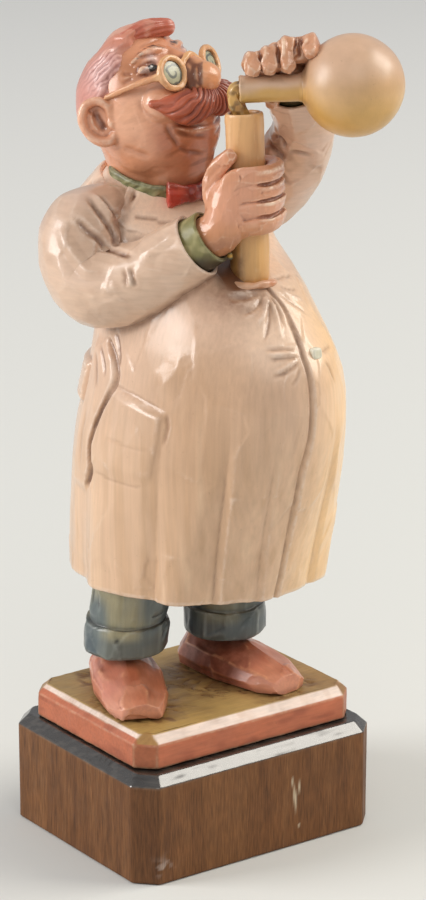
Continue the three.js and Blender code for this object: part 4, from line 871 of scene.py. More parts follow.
def coatCollar():
    # the turned-down collar: a rounded profile leaning out from the neck, carried round it, lower at the front
    size = coat["collar"]
    thick, wide, fall, count = size["thickness"], size["spread"], size["fall"], 110
    profile = np.array([
        (0.2, -size["root"]), (0, -1.5), (0.3, -0.2), (0.9, 0.1), (thick, -0.5), (thick + 1.8, -2.6),
        (wide * 0.7 + thick, -5.6), (wide + thick, 0.4 - fall), (wide + thick * 0.8, -0.5 - fall),
        (wide, -0.8 - fall), (3, -fall)])
    ring = through(np.concatenate([profile, profile[:1]]), np.linspace(0, 1, 60, endpoint=False))
    fade = np.sqrt(np.clip(np.sin(np.linspace(0.06, math.pi - 0.06, count)) * 6, 0, 1))[:, None]
    centre = ring.mean(0)
    out, up = (centre + (ring - centre) * (0.35 + 0.65 * fade)[..., None]).transpose(2, 0, 1)
    turn = np.radians(np.linspace(size["opening"], 360 - size["opening"], count))[:, None]
    reach = size["inner"] + out
    height = hemLevel + coat["top"] + size["stand"] - size["drop"] * (0.5 + 0.5 * np.cos(turn)) + up
    return xyz(size["side"] + reach * np.sin(turn), coat["neckBack"] - reach * np.cos(turn), height)


def tubeLip():  # the rolled edge in front of the tube's foot: a limb on part of a circle about the tube
    size = coat["lip"]
    turn = np.radians(np.linspace(*size["ends"], len(size["radii"])))
    reach = tube["radius"] + seam + size["reach"]
    circle = xyz(np.sin(turn), -np.cos(turn), 0.03 * np.cos(3 * turn))
    rough = lambda share, angle: 1 + 0.10 * np.sin(23 * share + 2 * angle) * np.sin(9 * share)
    return limb(onTube(size["along"]) + reach * circle, size["radii"], 32, 70, (1, 1), rough)


def awayFrom(points, line, radii):  # distance from each point to a limb's skin
    return reduce(np.minimum, (np.abs(distance(points, place) - radius) for place, radius in zip(line, radii)))


def buildCoat():
    # a grid of angles and rises, closest at the front and the belly, turned in under the hem and at the neck
    steps = lambda *spans: np.concatenate([np.linspace(*span, endpoint=False) for span in spans])
    degrees = steps((-116, 46, 285), (46, 244, 115))
    up = np.append(steps((0.5, 46, 82), (46, 84, 100)), np.linspace(84, 101, 28))
    rises = np.concatenate([[5, 5, 5, 5, 4, 2, 0.5, 0, 0, 0.15], up, np.full(6, coat["top"])])
    turnedIn, turnedOver = [-24, -16, -9, -5.2, -4.4, -3.6, -3.2, -2.6, -1, -0.3], [-0.6, -2, -4, -6.5, -9, -11]
    a, r = np.meshgrid(np.mod(degrees + 180, 360) - 180, rises)
    grow = np.concatenate([turnedIn, 0 * up, turnedOver])[:, None] + 0 * a
    grid = coatSkin(a, r, grow + np.where(grow > -0.4, coatRelief(a, r), 0))
    lip = tubeLip()
    mesh = meshOf("carvedCoat", joined([shellOf(grid), shellOf(coatCollar()), lip]))
    faceted(mesh, 12, 0.35, 85, 0, (1, 1, 0.6), 1, 0.4)
    cuts = []
    for cut in coatFolds:
        along, high = np.array(cut["places"], float).T
        lift = 0.4 + 0.8 * ease(2, 6, along) * ease(80, 8, along)  # the left front lies over the right one
        cuts.append({**cut, "places": coatSkin(along, high, lift)})
    dark = cutInto(mesh, cuts + neckFolds)
    points = pointsOf(mesh)
    washAndShade, rubAndHighlight = handled(mesh, 6, 0.22, 0.16)
    onLip = np.arange(len(points)) >= len(points) - len(lip[0])
    rise = points[:, 2] - hemLevel
    angle = np.degrees(np.arctan2(points[:, 0], -points[:, 1]))
    # painted shade where the sleeves lie against the coat
    contactShade = 0
    for sleeve in sleeves.values():
        shares = np.linspace(0, 1, 40)
        line, radii = through(fromHem(sleeve["stops"]), shares), through(sleeve["radii"], shares, False)[:, 0]
        contactShade = most(contactShade, ease(2.4, 0.3, awayFrom(points, line, radii)))
    grain = softNoise(points * (1, 1, 0.03), 1.8, 87)
    low = ease(62, 25, rise)
    along, away = fromAxis(points, tubeFoot, tubeAxis)
    # painted shadow in the hollow beside the tube's foot
    shadowBesideTube = 0.95 * ease(12, 7, away) * ease(0.5, 3.5, (points - tubeFoot) @ tubeSide)
    shadowBesideTube *= ease(-3, 1, along) * ease(16, 10, along)
    # painted shade down the front; painted light on the belly, the figure's left front and the shoulders
    paint = blended(
        (216, 181, 154), (patches(points, 16, 89, -0.2, 0.8) * 0.35, (222, 188, 166)),
        (low * 0.6, (222, 182, 144)), (ease(0, 0.7, grain) * low * 0.55, (200, 160, 122)),
        (hump(-36, 26, angle) * ease(80, 60, rise) * (0.35 + 0.4 * ease(15, 45, rise)), (186, 146, 110)),
        (ease(-26, -8, angle) * ease(70, 10, angle) * ease(58, 72, rise) * 0.6, (236, 206, 180)),
        (ease(-8, 22, angle) * ease(85, 30, angle) * ease(84, 66, rise) * 0.9, (250, 206, 150)),
        (ease(80, 86, rise) * 0.85, (246, 216, 190)), (ease(0.1, 0.7, -grain) * low * 0.3, (236, 202, 166)),
        (shadowBesideTube, (52, 34, 28)), (onLip, (216, 168, 134)), (onLip * patches(points, 2, 90, 0, 0.6), (192, 128, 88)))
    # painted shadow round the tube's foot, under its lip
    under = 0.9 * hump(0, 9, np.hypot(points[:, 0] + 7, points[:, 1] + 29)) * hump(78, 5, rise)
    parting = hump(-0.6, 0.9, angle - curveOn(coat["closure"], rise))
    parting *= ease(83, 80, rise) * (0.25 + 0.5 * ease(56, 68, rise))
    washAndShade = most(washAndShade * 0.5, dark, 0.6 * contactShade * ease(60, 70, rise), most(under, shadowBesideTube, parting) * (1 - onLip))
    piece(mesh, "coat_body", "coat_paint", paint, washAndShade, rubAndHighlight, points * (1, 1, 0.03))


button = dict(
    angle=8, rise=66.2, half=1.4415, height=1.3,
    rings=[(0.9, -2), (1, -2), (1, 0.45), (0.97, 0.75), (0.86, 0.95), (0.66, 1.05), (0.42, 1),
           (0.18, 0.95)],  # shares of the half width and the height
)


def buildButton():
    # a squarish pillow: |u|^4 + |v|^4 = 1 in plan, a low dome in height
    angle = circle(48)
    plan = (np.abs(np.cos(angle)) ** 4 + np.abs(np.sin(angle)) ** 4) ** -0.25
    reach, high = np.array(button["rings"]).T[..., None]
    radius = button["half"] * reach * plan
    grid = xyz(radius * np.cos(angle), radius * np.sin(angle), button["height"] * high)
    place = coatSkin(np.array([button["angle"]]), np.array([button["rise"]]), 0.6)[0]
    aim = unit(np.array([place[0], place[1], 6.0]))
    mesh = meshOf("carvedButton", shellOf(placed(grid, axisMatrix(place, aim))))
    washAndShade, rubAndHighlight = handled(mesh, 2, 0.12, 0.10)
    paint = blended((222, 216, 192), (washAndShade, (180, 160, 128)))
    piece(mesh, "coat_button", "button_paint", paint, washAndShade, rubAndHighlight)


sleeveFolds = dict(  # side, forward and rise of each fold's places
    right=[
        fold([(-26.2, -8.1, 98.9), (-25.9, -3.2, 96), (-24.7, -0.8, 92.9), (-23.9, 0.7, 90),
              (-25.5, 4.6, 88.7)], 1.5, 1.1, 0.85, taper=0.15),
        fold([(-32.1, -5.2, 94.9), (-30.2, -0.8, 91.8), (-28.4, 0.9, 90), (-27.2, 6.7, 88.2),
              (-27, 13.6, 87.3)], 1.5, 1.1, 0.9, 1.1, 0.15),
        fold([(-23, -7.3, 98.9), (-22.1, -3.3, 95.8), (-20.4, -2.4, 93.7)], 1.1, 0.7, 0.7, taper=0.2),
        fold([(-24.2, -9, 99.3), (-23.6, -4.4, 96.8), (-22.5, -1.5, 93.2)], 1.1, -0.5, 0, 1),
        fold([(-28.8, 12.4, 85.2), (-29.3, 13.5, 82.7), (-29.2, 14.3, 81.1)], 1.1, 0.5, 0.5),
        fold([(-28, 13.6, 85.7), (-28.3, 15, 83.5), (-28, 15.9, 80.7)], 1.1, 0.5, 0.5),
        fold([(-28.4, 12.9, 85.5), (-28.7, 14.4, 83.1), (-28.6, 15.2, 80.9)], 1, -0.5, 0, 1),
        fold([(-35.3, -8.1, 92.7), (-35.4, -3.1, 89.1), (-34.6, 0.5, 85.7), (-33.9, 4.1, 83.3),
              (-31.6, 7.8, 84.1)], 2.3, -0.9, 0, 1.1),
        fold([(-33.3, 8.1, 80.1), (-32, 10.3, 80.1), (-30.4, 12.5, 81.2)], 2, -0.5, 0, 1.2),
        fold([(-26.7, 13.6, 87.6), (-24.1, 17, 90), (-21.4, 19.7, 93), (-19.5, 20.9, 95.2)], 2.2, -0.6, 0, 1.1),
        fold([(-36, 2, 78), (-34.6, 5.6, 72), (-31.5, 7, 68.4)], 4, 0.4, 0.1),
    ],
    left=[
        fold([(19.8, 4, 109.6), (19.6, 8.3, 107.5), (21, 11.5, 105.6)], 1.8, 1, 0.95, taper=0.2),
        fold([(20, 6, 111), (18.9, 11.4, 110.8), (20.4, 12, 108.1)], 1.6, 0.8, 0.9),
        fold([(20.4, 12.2, 108.2), (22.4, 15, 107.6), (26, 16.6, 106.4)], 1.3, 0.6, 0.6),
        fold([(20.4, 6, 106), (21.2, 8.3, 102.2), (23, 10, 98)], 1.8, 0.8, 0.7),
        fold([(24, 14.6, 104.4), (28, 15, 102.6), (32, 13.4, 101)], 1.6, 0.4, 0.3),
        fold([(33, 15.6, 113), (30.6, 19.8, 117), (25, 23.6, 121)], 3, -0.7, 0, 1.2),
    ],
)
sleeveEnd = [  # inset and step along the forearm, over the lip and back inside
    (0.08, -0.15), (0.5, 0), (1, -0.15), (1.12, -0.6), (1.12, -2.2), (1.12, -4.2), (3.2, -4.3), (5, -4.3)]


def wristOf(sleeve):  # the sleeve's end and the direction of the forearm there
    stops = fromHem(sleeve["stops"])
    return stops[-1], unit(stops[-1] - stops[-2])


def buildSleeve(name):
    # a limb whose end turns in over a lip and goes back inside round the shirt cuff
    sleeve = sleeves[name]
    radius = sleeve["radii"][-1]
    grid = limbGrid(fromHem(sleeve["stops"]), sleeve["radii"], 200, 210, (0, 0))
    wrist, aim = wristOf(sleeve)
    last = grid[-1] - wrist
    lip = np.stack([wrist + last * (1 - inset / radius) + aim * step for inset, step in sleeveEnd])
    mesh = meshOf(name + "CarvedSleeve", shellOf(np.concatenate([grid[:-1], lip])))
    faceted(mesh, 11, 0.42, sleeve["facets"], 4)
    dark = cutInto(mesh, [{**cut, "places": fromHem(cut["places"])} for cut in sleeveFolds[name]])
    points = pointsOf(mesh)
    washAndShade, rubAndHighlight = handled(mesh, 6, 0.22, 0.14)
    rise = points[:, 2] - hemLevel
    front, back, half, middle = rowColumns(coat["rows"], np.clip(rise, 0, coat["top"]))
    depth = np.where(points[:, 1] < middle, front + middle, back - middle)
    outside = np.hypot(points[:, 0] / half, (points[:, 1] - middle) / np.maximum(depth, 4)) - 1
    # painted shade where the sleeve lies against the coat
    contactShade = 0.6 * ease(0.14, 0.02, outside) * ease(101, 96, rise)
    slant = points @ np.array([[0.7, 0.7, 0], [-0.7, 0.7, 0], [0, 0, 1]])
    paint = blended(
        sleeve["paint"], (patches(points, 13, 99, -0.3, 0.7) * 0.45, (210, 176, 150)),
        (patches(points, 9, 101, 0, 0.8) * 0.4, (232, 202, 186)),
        (patches(slant * (1, 0.1, 1), 1.5, 102, 0, 0.7) * 0.18, (196, 156, 128)))
    near = lambda place, spread: hump(0, spread, distance(points, fromHem(place)))
    innerElbowDark = 0
    if name == "right":  # painted shade: the upper arm's top plane is duller than its side
        paint = blended(paint, (near((-31.6, -1.4, 89.6), 7) * 0.6, (184, 152, 128)))
    else:
        # darker patches at the left sleeve's inner elbow
        innerElbowDark = 0.8 * near((20, 9, 107.5), 6) * patches(points, 2.4, 103, -0.4, 0.3)
    end = hump(-0.1, 0.5, (points - wrist) @ aim)
    rubAndHighlight = most(rubAndHighlight, end * ease(radius - 1.4, radius - 0.6, distance(points, wrist)))
    washAndShade = most(washAndShade * 0.45, dark, contactShade, innerElbowDark) * (1 - 0.8 * end)
    piece(mesh, name + "_sleeve", "coat_paint", paint, washAndShade, rubAndHighlight, points * (0.2, 0.2, 1))


shirtCuff = dict(wall=1.2, show=4.4, sink=4, inset=1.1, stud=(0.62, -0.45, -0.62), studAlong=3.2)


def buildCuff(name):
    # a turned band about the wrist with rounded edges, and on the right one a stud
    size = shirtCuff
    outer = sleeves[name]["radii"][-1] - size["inset"] - seam
    inner = outer - size["wall"] + 0.1
    show, sink = size["show"], -size["sink"]
    profile = [(inner, sink), (outer, sink), (outer, show - 0.5), (outer - 0.12, show - 0.15),
               (outer - 0.45, show), (inner + 0.3, show), (inner, show - 0.3), (inner, sink)]
    wrist, aim = wristOf(sleeves[name])
    grid = placed(turnedGrid(profile, 140, 60), axisMatrix(wrist, aim))
    shapes = [(grid.reshape(-1, 3), [ringFaces(*grid.shape[:2])[0]])]
    spot = wrist + aim * size["studAlong"] + unit(np.array(size["stud"])) * outer
    if name == "right":
        shapes.append(shellOf(limbGrid([(0, 0, -0.4), (0, 0, 0.35)], [0.6, 0.55], 24, 6) + spot))
    mesh = meshOf(name + "ShirtCuff", joined(shapes), True)
    points = swell(mesh, 0.10 * softNoise(pointsOf(mesh), 2.2, 107))
    washAndShade, rubAndHighlight = handled(mesh, 3, 0.10, 0.08)
    brass = ease(0.9, 0.6, distance(points, spot)) * (name == "right")
    # painted shade: the right cuff darkens towards its lower side and the left cuff is dark all round
    low = 0.95 * ease(-0.5, -4, points[:, 2] - wrist[2]) if name == "right" else np.full(len(points), 0.7)
    paint = blended(
        (132, 126, 78), (patches(points, 2, 109, 0, 0.6) * 0.7, (176, 166, 118)),
        (patches(points, 3, 111, 0, 0.6) * 0.7, (92, 84, 46)), (low, (56, 42, 26)), (brass, (206, 160, 70)))
    washAndShade = most(washAndShade, low) * (1 - brass)
    piece(mesh, name + "_shirt_cuff", "shirt_paint", paint, washAndShade, rubAndHighlight)


# Tube, flask and stream

flask = dict(radius=12.6, neck=3.35, neckLength=15.5, mouth=4, wall=0.9, turn=35, tilt=2, gap=2.2)
flaskTurn, flaskTilt = math.radians(flask["turn"]), math.radians(flask["tilt"])
flaskAxis = np.array([math.cos(flaskTurn) * math.cos(flaskTilt), -math.sin(flaskTurn) * math.cos(flaskTilt),
                      math.sin(flaskTilt)])
flaskBehind = unit(np.array([-flaskAxis[1], flaskAxis[0], 0]))
flaskUp = unit(np.cross(flaskAxis, flaskBehind))
flaskMouth = onTube(tube["length"] + flask["gap"] + flask["neck"]) - flaskAxis * flask["wall"]


def byFlask(along, above, behind):  # a place along the flask's neck from the mouth, above and behind its axis
    return flaskMouth + flaskAxis * along + flaskUp * above + flaskBehind * behind


def buildTube():
    # a turned cylinder with a bore at its top end, cut into long facets
    outer, rim = tube["radius"], tube["length"]
    bore, floor = outer - tube["wall"], rim - tube["bore"]
    profile = [(0, 0), (outer - 0.7, 0), (outer - 0.15, 0.35), (outer, 1), (outer, rim - 0.7),
               (outer - 0.15, rim - 0.2), (outer - 0.45, rim), (bore + 0.3, rim), (bore, rim - 0.3),
               (bore, floor + bore), (bore * 0.7, floor + 0.3 * bore), (0, floor)]
    grid = placed(turnedGrid(profile, 120, 150, 0.02, 121), axisMatrix(tubeFoot, tubeAxis))
    mesh = meshOf("measuringTubeLooks", shellOf(grid))
    points = faceted(mesh, 4, 0.3, 123, 1, (1, 1, 0.12))
    washAndShade, rubAndHighlight = handled(mesh, 4, 0.10, 0.08)
    along, away = fromAxis(points, tubeFoot, tubeAxis)
    streak = softNoise(points * (1, 1, 0.12), 1.6, 124)
    paint = blended(
        (220, 168, 112), (patches(points * (1, 1, 0.3), 5, 125, -0.2, 0.7) * 0.6, (206, 144, 86)),
        (ease(0.1, 0.7, streak) * 0.4, (234, 190, 142)), (ease(0.1, 0.7, -streak) * 0.4, (186, 126, 72)),
        (ease(24, 10, along) * 0.5, (206, 158, 82)))
    # painted shade inside the bore, at the foot where it stands on the coat, and on the side towards the shadow
    within = ease(bore + 0.25, bore - 0.1, away) * ease(floor - 1, floor + 1, along)
    beside = (points - tubeFoot) @ tubeSide + 0.8 * softNoise(points, 3, 128)
    shade = 0.85 * ease(16, 6, along) * ease(0.3, 3.2, beside)
    washAndShade = most(washAndShade, 0.85 * within, 0.4 * ease(3, 0.5, along), shade)
    piece(mesh, "measuring_tube", "glassware_paint", paint, washAndShade, rubAndHighlight)


def buildFlask():
    # a short neck and a sphere turned about one axis; the liquid's ochre fades into the pale upper half
    radius, neck, length, depth = (flask[key] for key in ("radius", "neck", "neckLength", "mouth"))
    centre = length + math.sqrt(radius ** 2 - neck ** 2)
    turns = np.linspace(math.asin(neck / radius) + 0.10, math.pi, 60)
    mouth = neck - flask["wall"]
    profile = [(0, depth), (mouth, depth - 1), (mouth, 0.2), (mouth + 0.25, 0), (neck - 0.25, 0), (neck, 0.3),
               (neck, length - 1.2), (neck + 0.25, length - 0.3)]
    profile += [(radius * math.sin(t), centre - radius * math.cos(t)) for t in turns]
    grid = placed(turnedGrid(profile, 200, 190, 0.006, 131), axisMatrix(flaskMouth, flaskAxis))
    mesh = meshOf("roundFlaskLooks", shellOf(grid))
    points = pointsOf(mesh)
    along = (points - flaskMouth) @ flaskAxis
    chips = 0.25 * softNoise(points, 1.3, 134) * ease(1.5, 0.2, along)
    points = swell(mesh, 0.10 * softNoise(points, 5, 133) + chips)
    washAndShade, rubAndHighlight = handled(mesh, 4, 0.10, 0.10)
    above = (points - flaskMouth) @ flaskUp
    belly = ease(14, 17, along)
    surface = above + 1.2 * softNoise(points, 6, 135)
    liquid = belly * ease(8.5, -7, surface) + (1 - belly) * ease(1.8, -0.8, surface)
    paint = blended(
        (206, 168, 138), (patches(points, 9, 137, -0.2, 0.7) * 0.4, (214, 180, 154)),
        (liquid * 0.95, (206, 160, 84)), (ease(-3, -12, above) * 0.5, (196, 146, 66)),
        (patches(points, 4, 139, 0, 0.7) * 0.2, (190, 150, 104)))
    away = fromAxis(points, flaskMouth, flaskAxis)[1]
    # painted shade inside the mouth and on the neck's upper side under the fingers
    hollow = ease(mouth + 0.2, mouth - 0.2, away) * ease(4.6, 3.8, along)
    shadeUnderFingers = hump(9, 7, along) * ease(0.5, 3, above) * (0.1 + 0.25 * patches(points, 2, 140, -0.1, 0.4))
    root = 0.5 * hump(15.6, 1.2, along) * patches(points, 3, 142, -0.3, 0.4)
    rim = 0.6 * ease(1.6, 0.1, along) * patches(points, 1.4, 141, -0.2, 0.4)
    washAndShade = most(washAndShade * (1 - belly), rim, hollow, shadeUnderFingers, root)
    piece(mesh, "round_flask", "glassware_paint", paint, washAndShade, rubAndHighlight * (1 - belly), points * 0.3)


stream = dict(radius=1.7, depth=4, fall=1.1, swell=1.15)


def buildStream():
    # the poured liquid: a limb out of the flask's mouth, over its lip and down into the tube
    radius, wide, rim = stream["radius"], stream["radius"] * stream["swell"], tube["length"]
    fall = -flaskAxis * radius * stream["fall"]
    stops = [byFlask(flask["mouth"] / 2, 0, 0), flaskMouth + 0.5 * fall, onTube(rim + flask["gap"]) + fall,
             onTube(rim) + 0.5 * fall, onTube(rim - stream["depth"])]
    ripple = lambda share, angle: 1 + 0.14 * np.sin(5 * angle + 7 * share) * np.sin(9 * share)
    flow = limb(stops, [radius, radius, wide, wide, radius], 60, 70, (1, 1), ripple)
    mesh = meshOf("pouredStreamLooks", flow)
    points = faceted(mesh, 2, 0.6, 143, 1)
    washAndShade, rubAndHighlight = handled(mesh, 3, 0.10, 0.08)
    paint = blended((208, 162, 92), (patches(points, 1.8, 145, -0.1, 0.6) * 0.7, (178, 126, 62)))
    washAndShade = most(washAndShade, 0.3 + 0.65 * patches(points, 1.2, 147, 0, 0.5))
    piece(mesh, "poured_stream", "liquid_paint", paint, washAndShade, rubAndHighlight)


# Hands: fingers are limbs through a few stops, fused with the palm and wrist into one skin

hands = dict(
    finger=2.1, knuckle=2.6, spacing=3.9, gripHeight=24.2, gripTurn=-25, palmReach=3, palmShare=0.45, voxel=0.2,
    palmAlong=9.5, facets=dict(right=151, left=157), gapDark=dict(right=0.65, left=0.95),
)
rightFinger = [  # turn, drop, out, radius
    (-35, 1.6, 1.4, 2.6), (25, 0.5, 0.8, 2.35), (95, 0, 0, 2.15), (155, -0.5, 0, 1.9)]
rightThumb = [(-78, -2, 1.6, 2.85), (-72, -6.6, 0.8, 2.45), (-46, -9.8, 0, 2.1)]
leftFingers = [(3.4, 6.8, 5.2), (7.5, 8.2, 5.4), (11.9, 10.2, 5.7), (17.6, 10.8, 9.2)]  # along, top, tip


def turnedAbout(vector, axis, degrees):  # a vector turned about an axis
    cos, sin = math.cos(math.radians(degrees)), math.sin(math.radians(degrees))
    return vector * cos + np.cross(axis, vector) * sin + axis * np.dot(axis, vector) * (1 - cos)


def squared(share, angle):  # a finger's section: flats all round, with slight swellings at two joints
    joints = 1 + 0.05 * hump(0.45, 0.07, share) + 0.05 * hump(0.75, 0.06, share)
    return joints * (1 + 0.09 * np.cos(4 * angle + 0.4))


def finger(stops, radii):
    return limb(stops, radii, 40, 60, (1, 1), squared)


def wristStops(name):
    sleeve = sleeves[name]
    wrist, aim = wristOf(sleeve)
    radius = sleeve["radii"][-1] - shirtCuff["inset"] - shirtCuff["wall"] - 2 * seam
    return [wrist - aim * shirtCuff["sink"], wrist + aim * shirtCuff["show"] / 2], radius, wrist, aim


def rightHandShapes():
    # four fingers and a thumb round the tube, with the lines of the gaps between them and of their ridges
    size = hands
    stops, radius, wrist, aim = wristStops("right")
    near = turnedAbout(np.array([0.0, -1, 0]), np.array([0.0, 0, 1]), size["gripTurn"])
    palm = wrist + aim * (shirtCuff["show"] + size["palmReach"])

    def roundTube(height, turn, drop, out):
        reach = tube["radius"] + seam + size["finger"] + out
        return onTube(height - drop) + turnedAbout(near, tubeAxis, turn) * reach

    def gripping(start, height, rows):
        line = [roundTube(height, *row[:3]) for row in rows]
        shapes.append(finger([start] + line, [size["knuckle"]] + [row[3] for row in rows]))
        return np.array(line)

    shapes, fingers = [], []
    for row in (1.5, 0.5, -0.5, -1.5):
        lift = row * size["spacing"]
        start = palm + tubeAxis * lift * size["palmShare"]
        fingers.append(gripping(start, size["gripHeight"] + lift, rightFinger))
    gripping(palm, size["gripHeight"], rightThumb)
    back = roundTube(size["gripHeight"], -48, 0, 0)
    shapes.append(limb(stops + [palm, back], [radius, radius, radius, radius * 0.92], 60, 60, (0, 1)))
    outward = lambda line: line + unit(line - onTube(((line - tubeFoot) @ tubeAxis)[:, None])) * size["finger"]
    shorter = lambda line: np.concatenate([[0.45 * line[0] + 0.55 * line[1]], line[1:]])
    gaps = [outward(shorter(0.5 * (one + other))) for one, other in zip(fingers, fingers[1:])]
    return shapes, gaps, [outward(shorter(line) + 1.1 * tubeAxis) for line in fingers]


def leftHandShapes():
    # four fingers over the flask's neck from behind, a thumb under it and two filled rows of knuckles
    size, neck = hands, flask["neck"]
    stops, radius, wrist, aim = wristStops("left")
    behind, middle = neck + 4, size["palmAlong"]
    palm = byFlask(middle, 4, behind)
    girths = [size["knuckle"], size["knuckle"] * 0.9, size["finger"], size["finger"] * 0.92]
    shapes = []
    for along, top, tip in leftFingers:
        root = palm * (1 - size["palmShare"]) + byFlask(along, 0, behind) * size["palmShare"]
        bent = [(top * 0.65, behind), (top, neck * 0.65), (tip, -neck * 0.65)]
        shapes.append(finger([root] + [byFlask(along, *place) for place in bent], girths))
    for lower, girth in ((0.1, 1.9), (3, 2.3)):
        ridge = [byFlask(along, top - lower, 1.5) for along, top, tip in leftFingers]
        shapes.append(limb(ridge, [girth * 0.9, girth, girth, girth * 0.85], 40, 40))
    heel = byFlask(middle, leftFingers[0][1], behind)
    shapes.append(limb(stops + [palm, heel], [radius, radius, radius * 0.92, radius * 0.65], 60, 60, (0, 1)))
    under = -neck - size["finger"]
    thumb = [(0, 6.2), (under * 0.5, 5.6), (under * 0.75, 4.2)]
    shapes.append(finger([palm] + [byFlask(8, *place) for place in thumb], girths))
    over = lambda along, top: np.array([byFlask(along, *place) for place in (
        (top + 1, 2.5), (top, 0), (top - 2.5, -1.5), (5.2, -2.4))])
    pairs = zip(leftFingers, leftFingers[1:])
    gaps = [over(0.5 * (one[0] + other[0]), 0.5 * (one[1] + other[1])) for one, other in pairs]
    gaps += [gaps[2] + flaskAxis * step for step in (-0.7, 0.7)]  # the widest gap, before the last finger
    return shapes, gaps, [over(along - 0.8, top + 1) for along, top, tip in leftFingers]


def buildHand(name, shapes, gaps, ridges):
    # the fused skin, its ridges raised and its gaps cut; the ridges are pale with worn paint and painted
    # highlights, and painted shade darkens it where it meets the glassware
    mesh = fused(name + "CarvedHand", shapes, hands["voxel"], 2)
    faceted(mesh, 4, 0.5, hands["facets"][name], 2, limit=0.3)
    edge = cutInto(mesh, [fold(ridge, 0.9, -0.4, 1, 1, 0.25) for ridge in ridges])
    dark = cutInto(mesh, [fold(gap, 0.7, 0.85, hands["gapDark"][name], 1, 0.25) for gap in gaps])
    points = pointsOf(mesh)
    washAndShade, rubAndHighlight = handled(mesh, 12, 0.16, 0.12)
    along, byTube = fromAxis(points, tubeFoot, tubeAxis)
    neckAlong, byNeck = fromAxis(points, flaskMouth, flaskAxis)
    byTube = np.where(along < tube["length"], byTube - tube["radius"], 9)
    byNeck = np.where((neckAlong > 0) & (neckAlong < flask["neckLength"]), byNeck - flask["neck"], 9)
    contactShade = 0.75 * ease(1.2, 0.3, np.minimum(byTube, byNeck))
    low, heel = (0 * along + 0.5, (190, 138, 100)), 0
    if name == "right":
        low, heel = (ease(20, 14, along) * 0.5, (200, 138, 88)), 0.5 * ease(17, 13, along)
    paint = blended(
        (214, 150, 114), (patches(points, 5, 161, -0.2, 0.7) * 0.5, (222, 162, 134)),
        (patches(points, 3, 163, 0.1, 0.8) * 0.5, (198, 126, 82)), low)
    washAndShade = most(washAndShade * 0.8, dark, contactShade, heel)
    # pale ridges along the fingers: worn paint and painted highlights
    rubAndHighlight = most(rubAndHighlight * 0.6, edge * patches(points, 2.5, 165, -0.5, 0.2))
    piece(mesh, name + "_hand", "skin_paint", paint, washAndShade, rubAndHighlight)


# Head, worked in its own frame: looks along -Y, +X is the figure's left

headFrame = Matrix.Translation((-2.4, 16.2, hemLevel + 120.2)) @ spin(20, "Z") @ spin(-22, "X")
head = dict(
    rows=[(-20, 11, 9, 10, 0), (-16, 14.6, 11, 13, 0), (-9, 17, 14, 15, 0), (-2, 16.6, 16.8, 15.2, 0),
          (5, 13.6, 15, 13.6, 0), (10, 10.8, 10, 11, 0), (14, 8.4, 4, 7.2, -2), (15.8, 6.4, 0.4, 4.2, -3),
          (16.3, 4.5, -2.4, 1.2, -3.4)],
    neck=11.6, neckFoot=(-1.2, 13.5, 163.5), nose=4.7, noseReach=18.3, noseDrop=0.8, voxel=0.285,
    ear=(15.2, 4.6, -3.2), earTurn=22,
)
eye = dict(  # outer and inner corner, then the lids as share of the way between them and height
    outer=(-11, -7.8, 5.1), inner=(-7, -11.3, 5.5), pupil=(-7.9, -10.7, 5.5), glint=(-8.3, -10.6, 6),
    upper=[(0, 5.1), (0.45, 6.3), (0.8, 6.5), (1, 5.7)], lower=[(0, 5), (0.4, 4.4), (0.8, 4.4), (1, 5.3)],
    brow=[(-10, -7.6, 9.4), (-7.4, -9, 10.3), (-4.8, -10.1, 10.5), (-2.6, -10.9, 9.9)],
)


def ball(centre, radii, around=60, rings=40):  # an ellipsoid: circles of radius sin t at heights cos t
    t = np.linspace(0.04, math.pi - 0.04, rings)[::-1, None]
    angle = circle(around)[None]
    grid = xyz(np.sin(t) * np.cos(angle), np.sin(t) * np.sin(angle), np.cos(t))
    return grid * np.asarray(radii, float) + np.asarray(centre, float)


def skull(grow, around=150, rings=110):  # egg sections from the chin to the crown, closer towards the crown
    share = np.sin(np.linspace(0, np.pi / 2, rings))
    low, high = head["rows"][0][0], head["rows"][-1][0]
    a, r = np.meshgrid(np.linspace(-180, 180, around, endpoint=False), low + (high - low) * share)
    grid = eggPoints(head["rows"], a, r, grow)
    grid[..., 2] += grow * (2 * share[:, None] - 1)
    return grid


earLimbs = [  # the rolled edge and the inner fold
    ([(0.6, -3, 0.2), (1.1, -3.4, 3.2), (1.5, -1.2, 5.7), (1.9, 2.2, 5.5), (2.1, 4.2, 2.3), (1.9, 4, -1.6),
      (1.3, 2.2, -4.6), (0.9, -0.6, -5.9), (0.5, -2.6, -4.6)],
     [0.9, 1.2, 1.3, 1.35, 1.35, 1.3, 1.45, 1.55, 1.2], 28, 80),
    ([(1, 0.8, 3.6), (1.4, 2, 1.4), (1.3, 1.8, -1.2), (0.9, 0.4, -3.2)], [0.5, 0.7, 0.7, 0.5], 20, 40),
]
earBalls = [((0.1, 0.4, -0.3), (1, 4, 5.6), 40, 30), ((1, -2.8, -1.4), (1.1, 1.2, 1.6), 24, 18)]


def earShapes():  # a thin plate, its rolled edge as a limb round it, an inner fold and a small knob in front
    shapes = []
    spread, back, rise = head["ear"]
    grids = [limbGrid(*form) for form in earLimbs] + [ball(*form) for form in earBalls]
    for side in (-1, 1):
        carry = Matrix.Translation((side * spread, back, rise)) @ spin(-side * head["earTurn"], "Z")
        shapes += [shellOf(placed(grid * (side, 0.93, 0.9), carry)) for grid in grids]
    return shapes


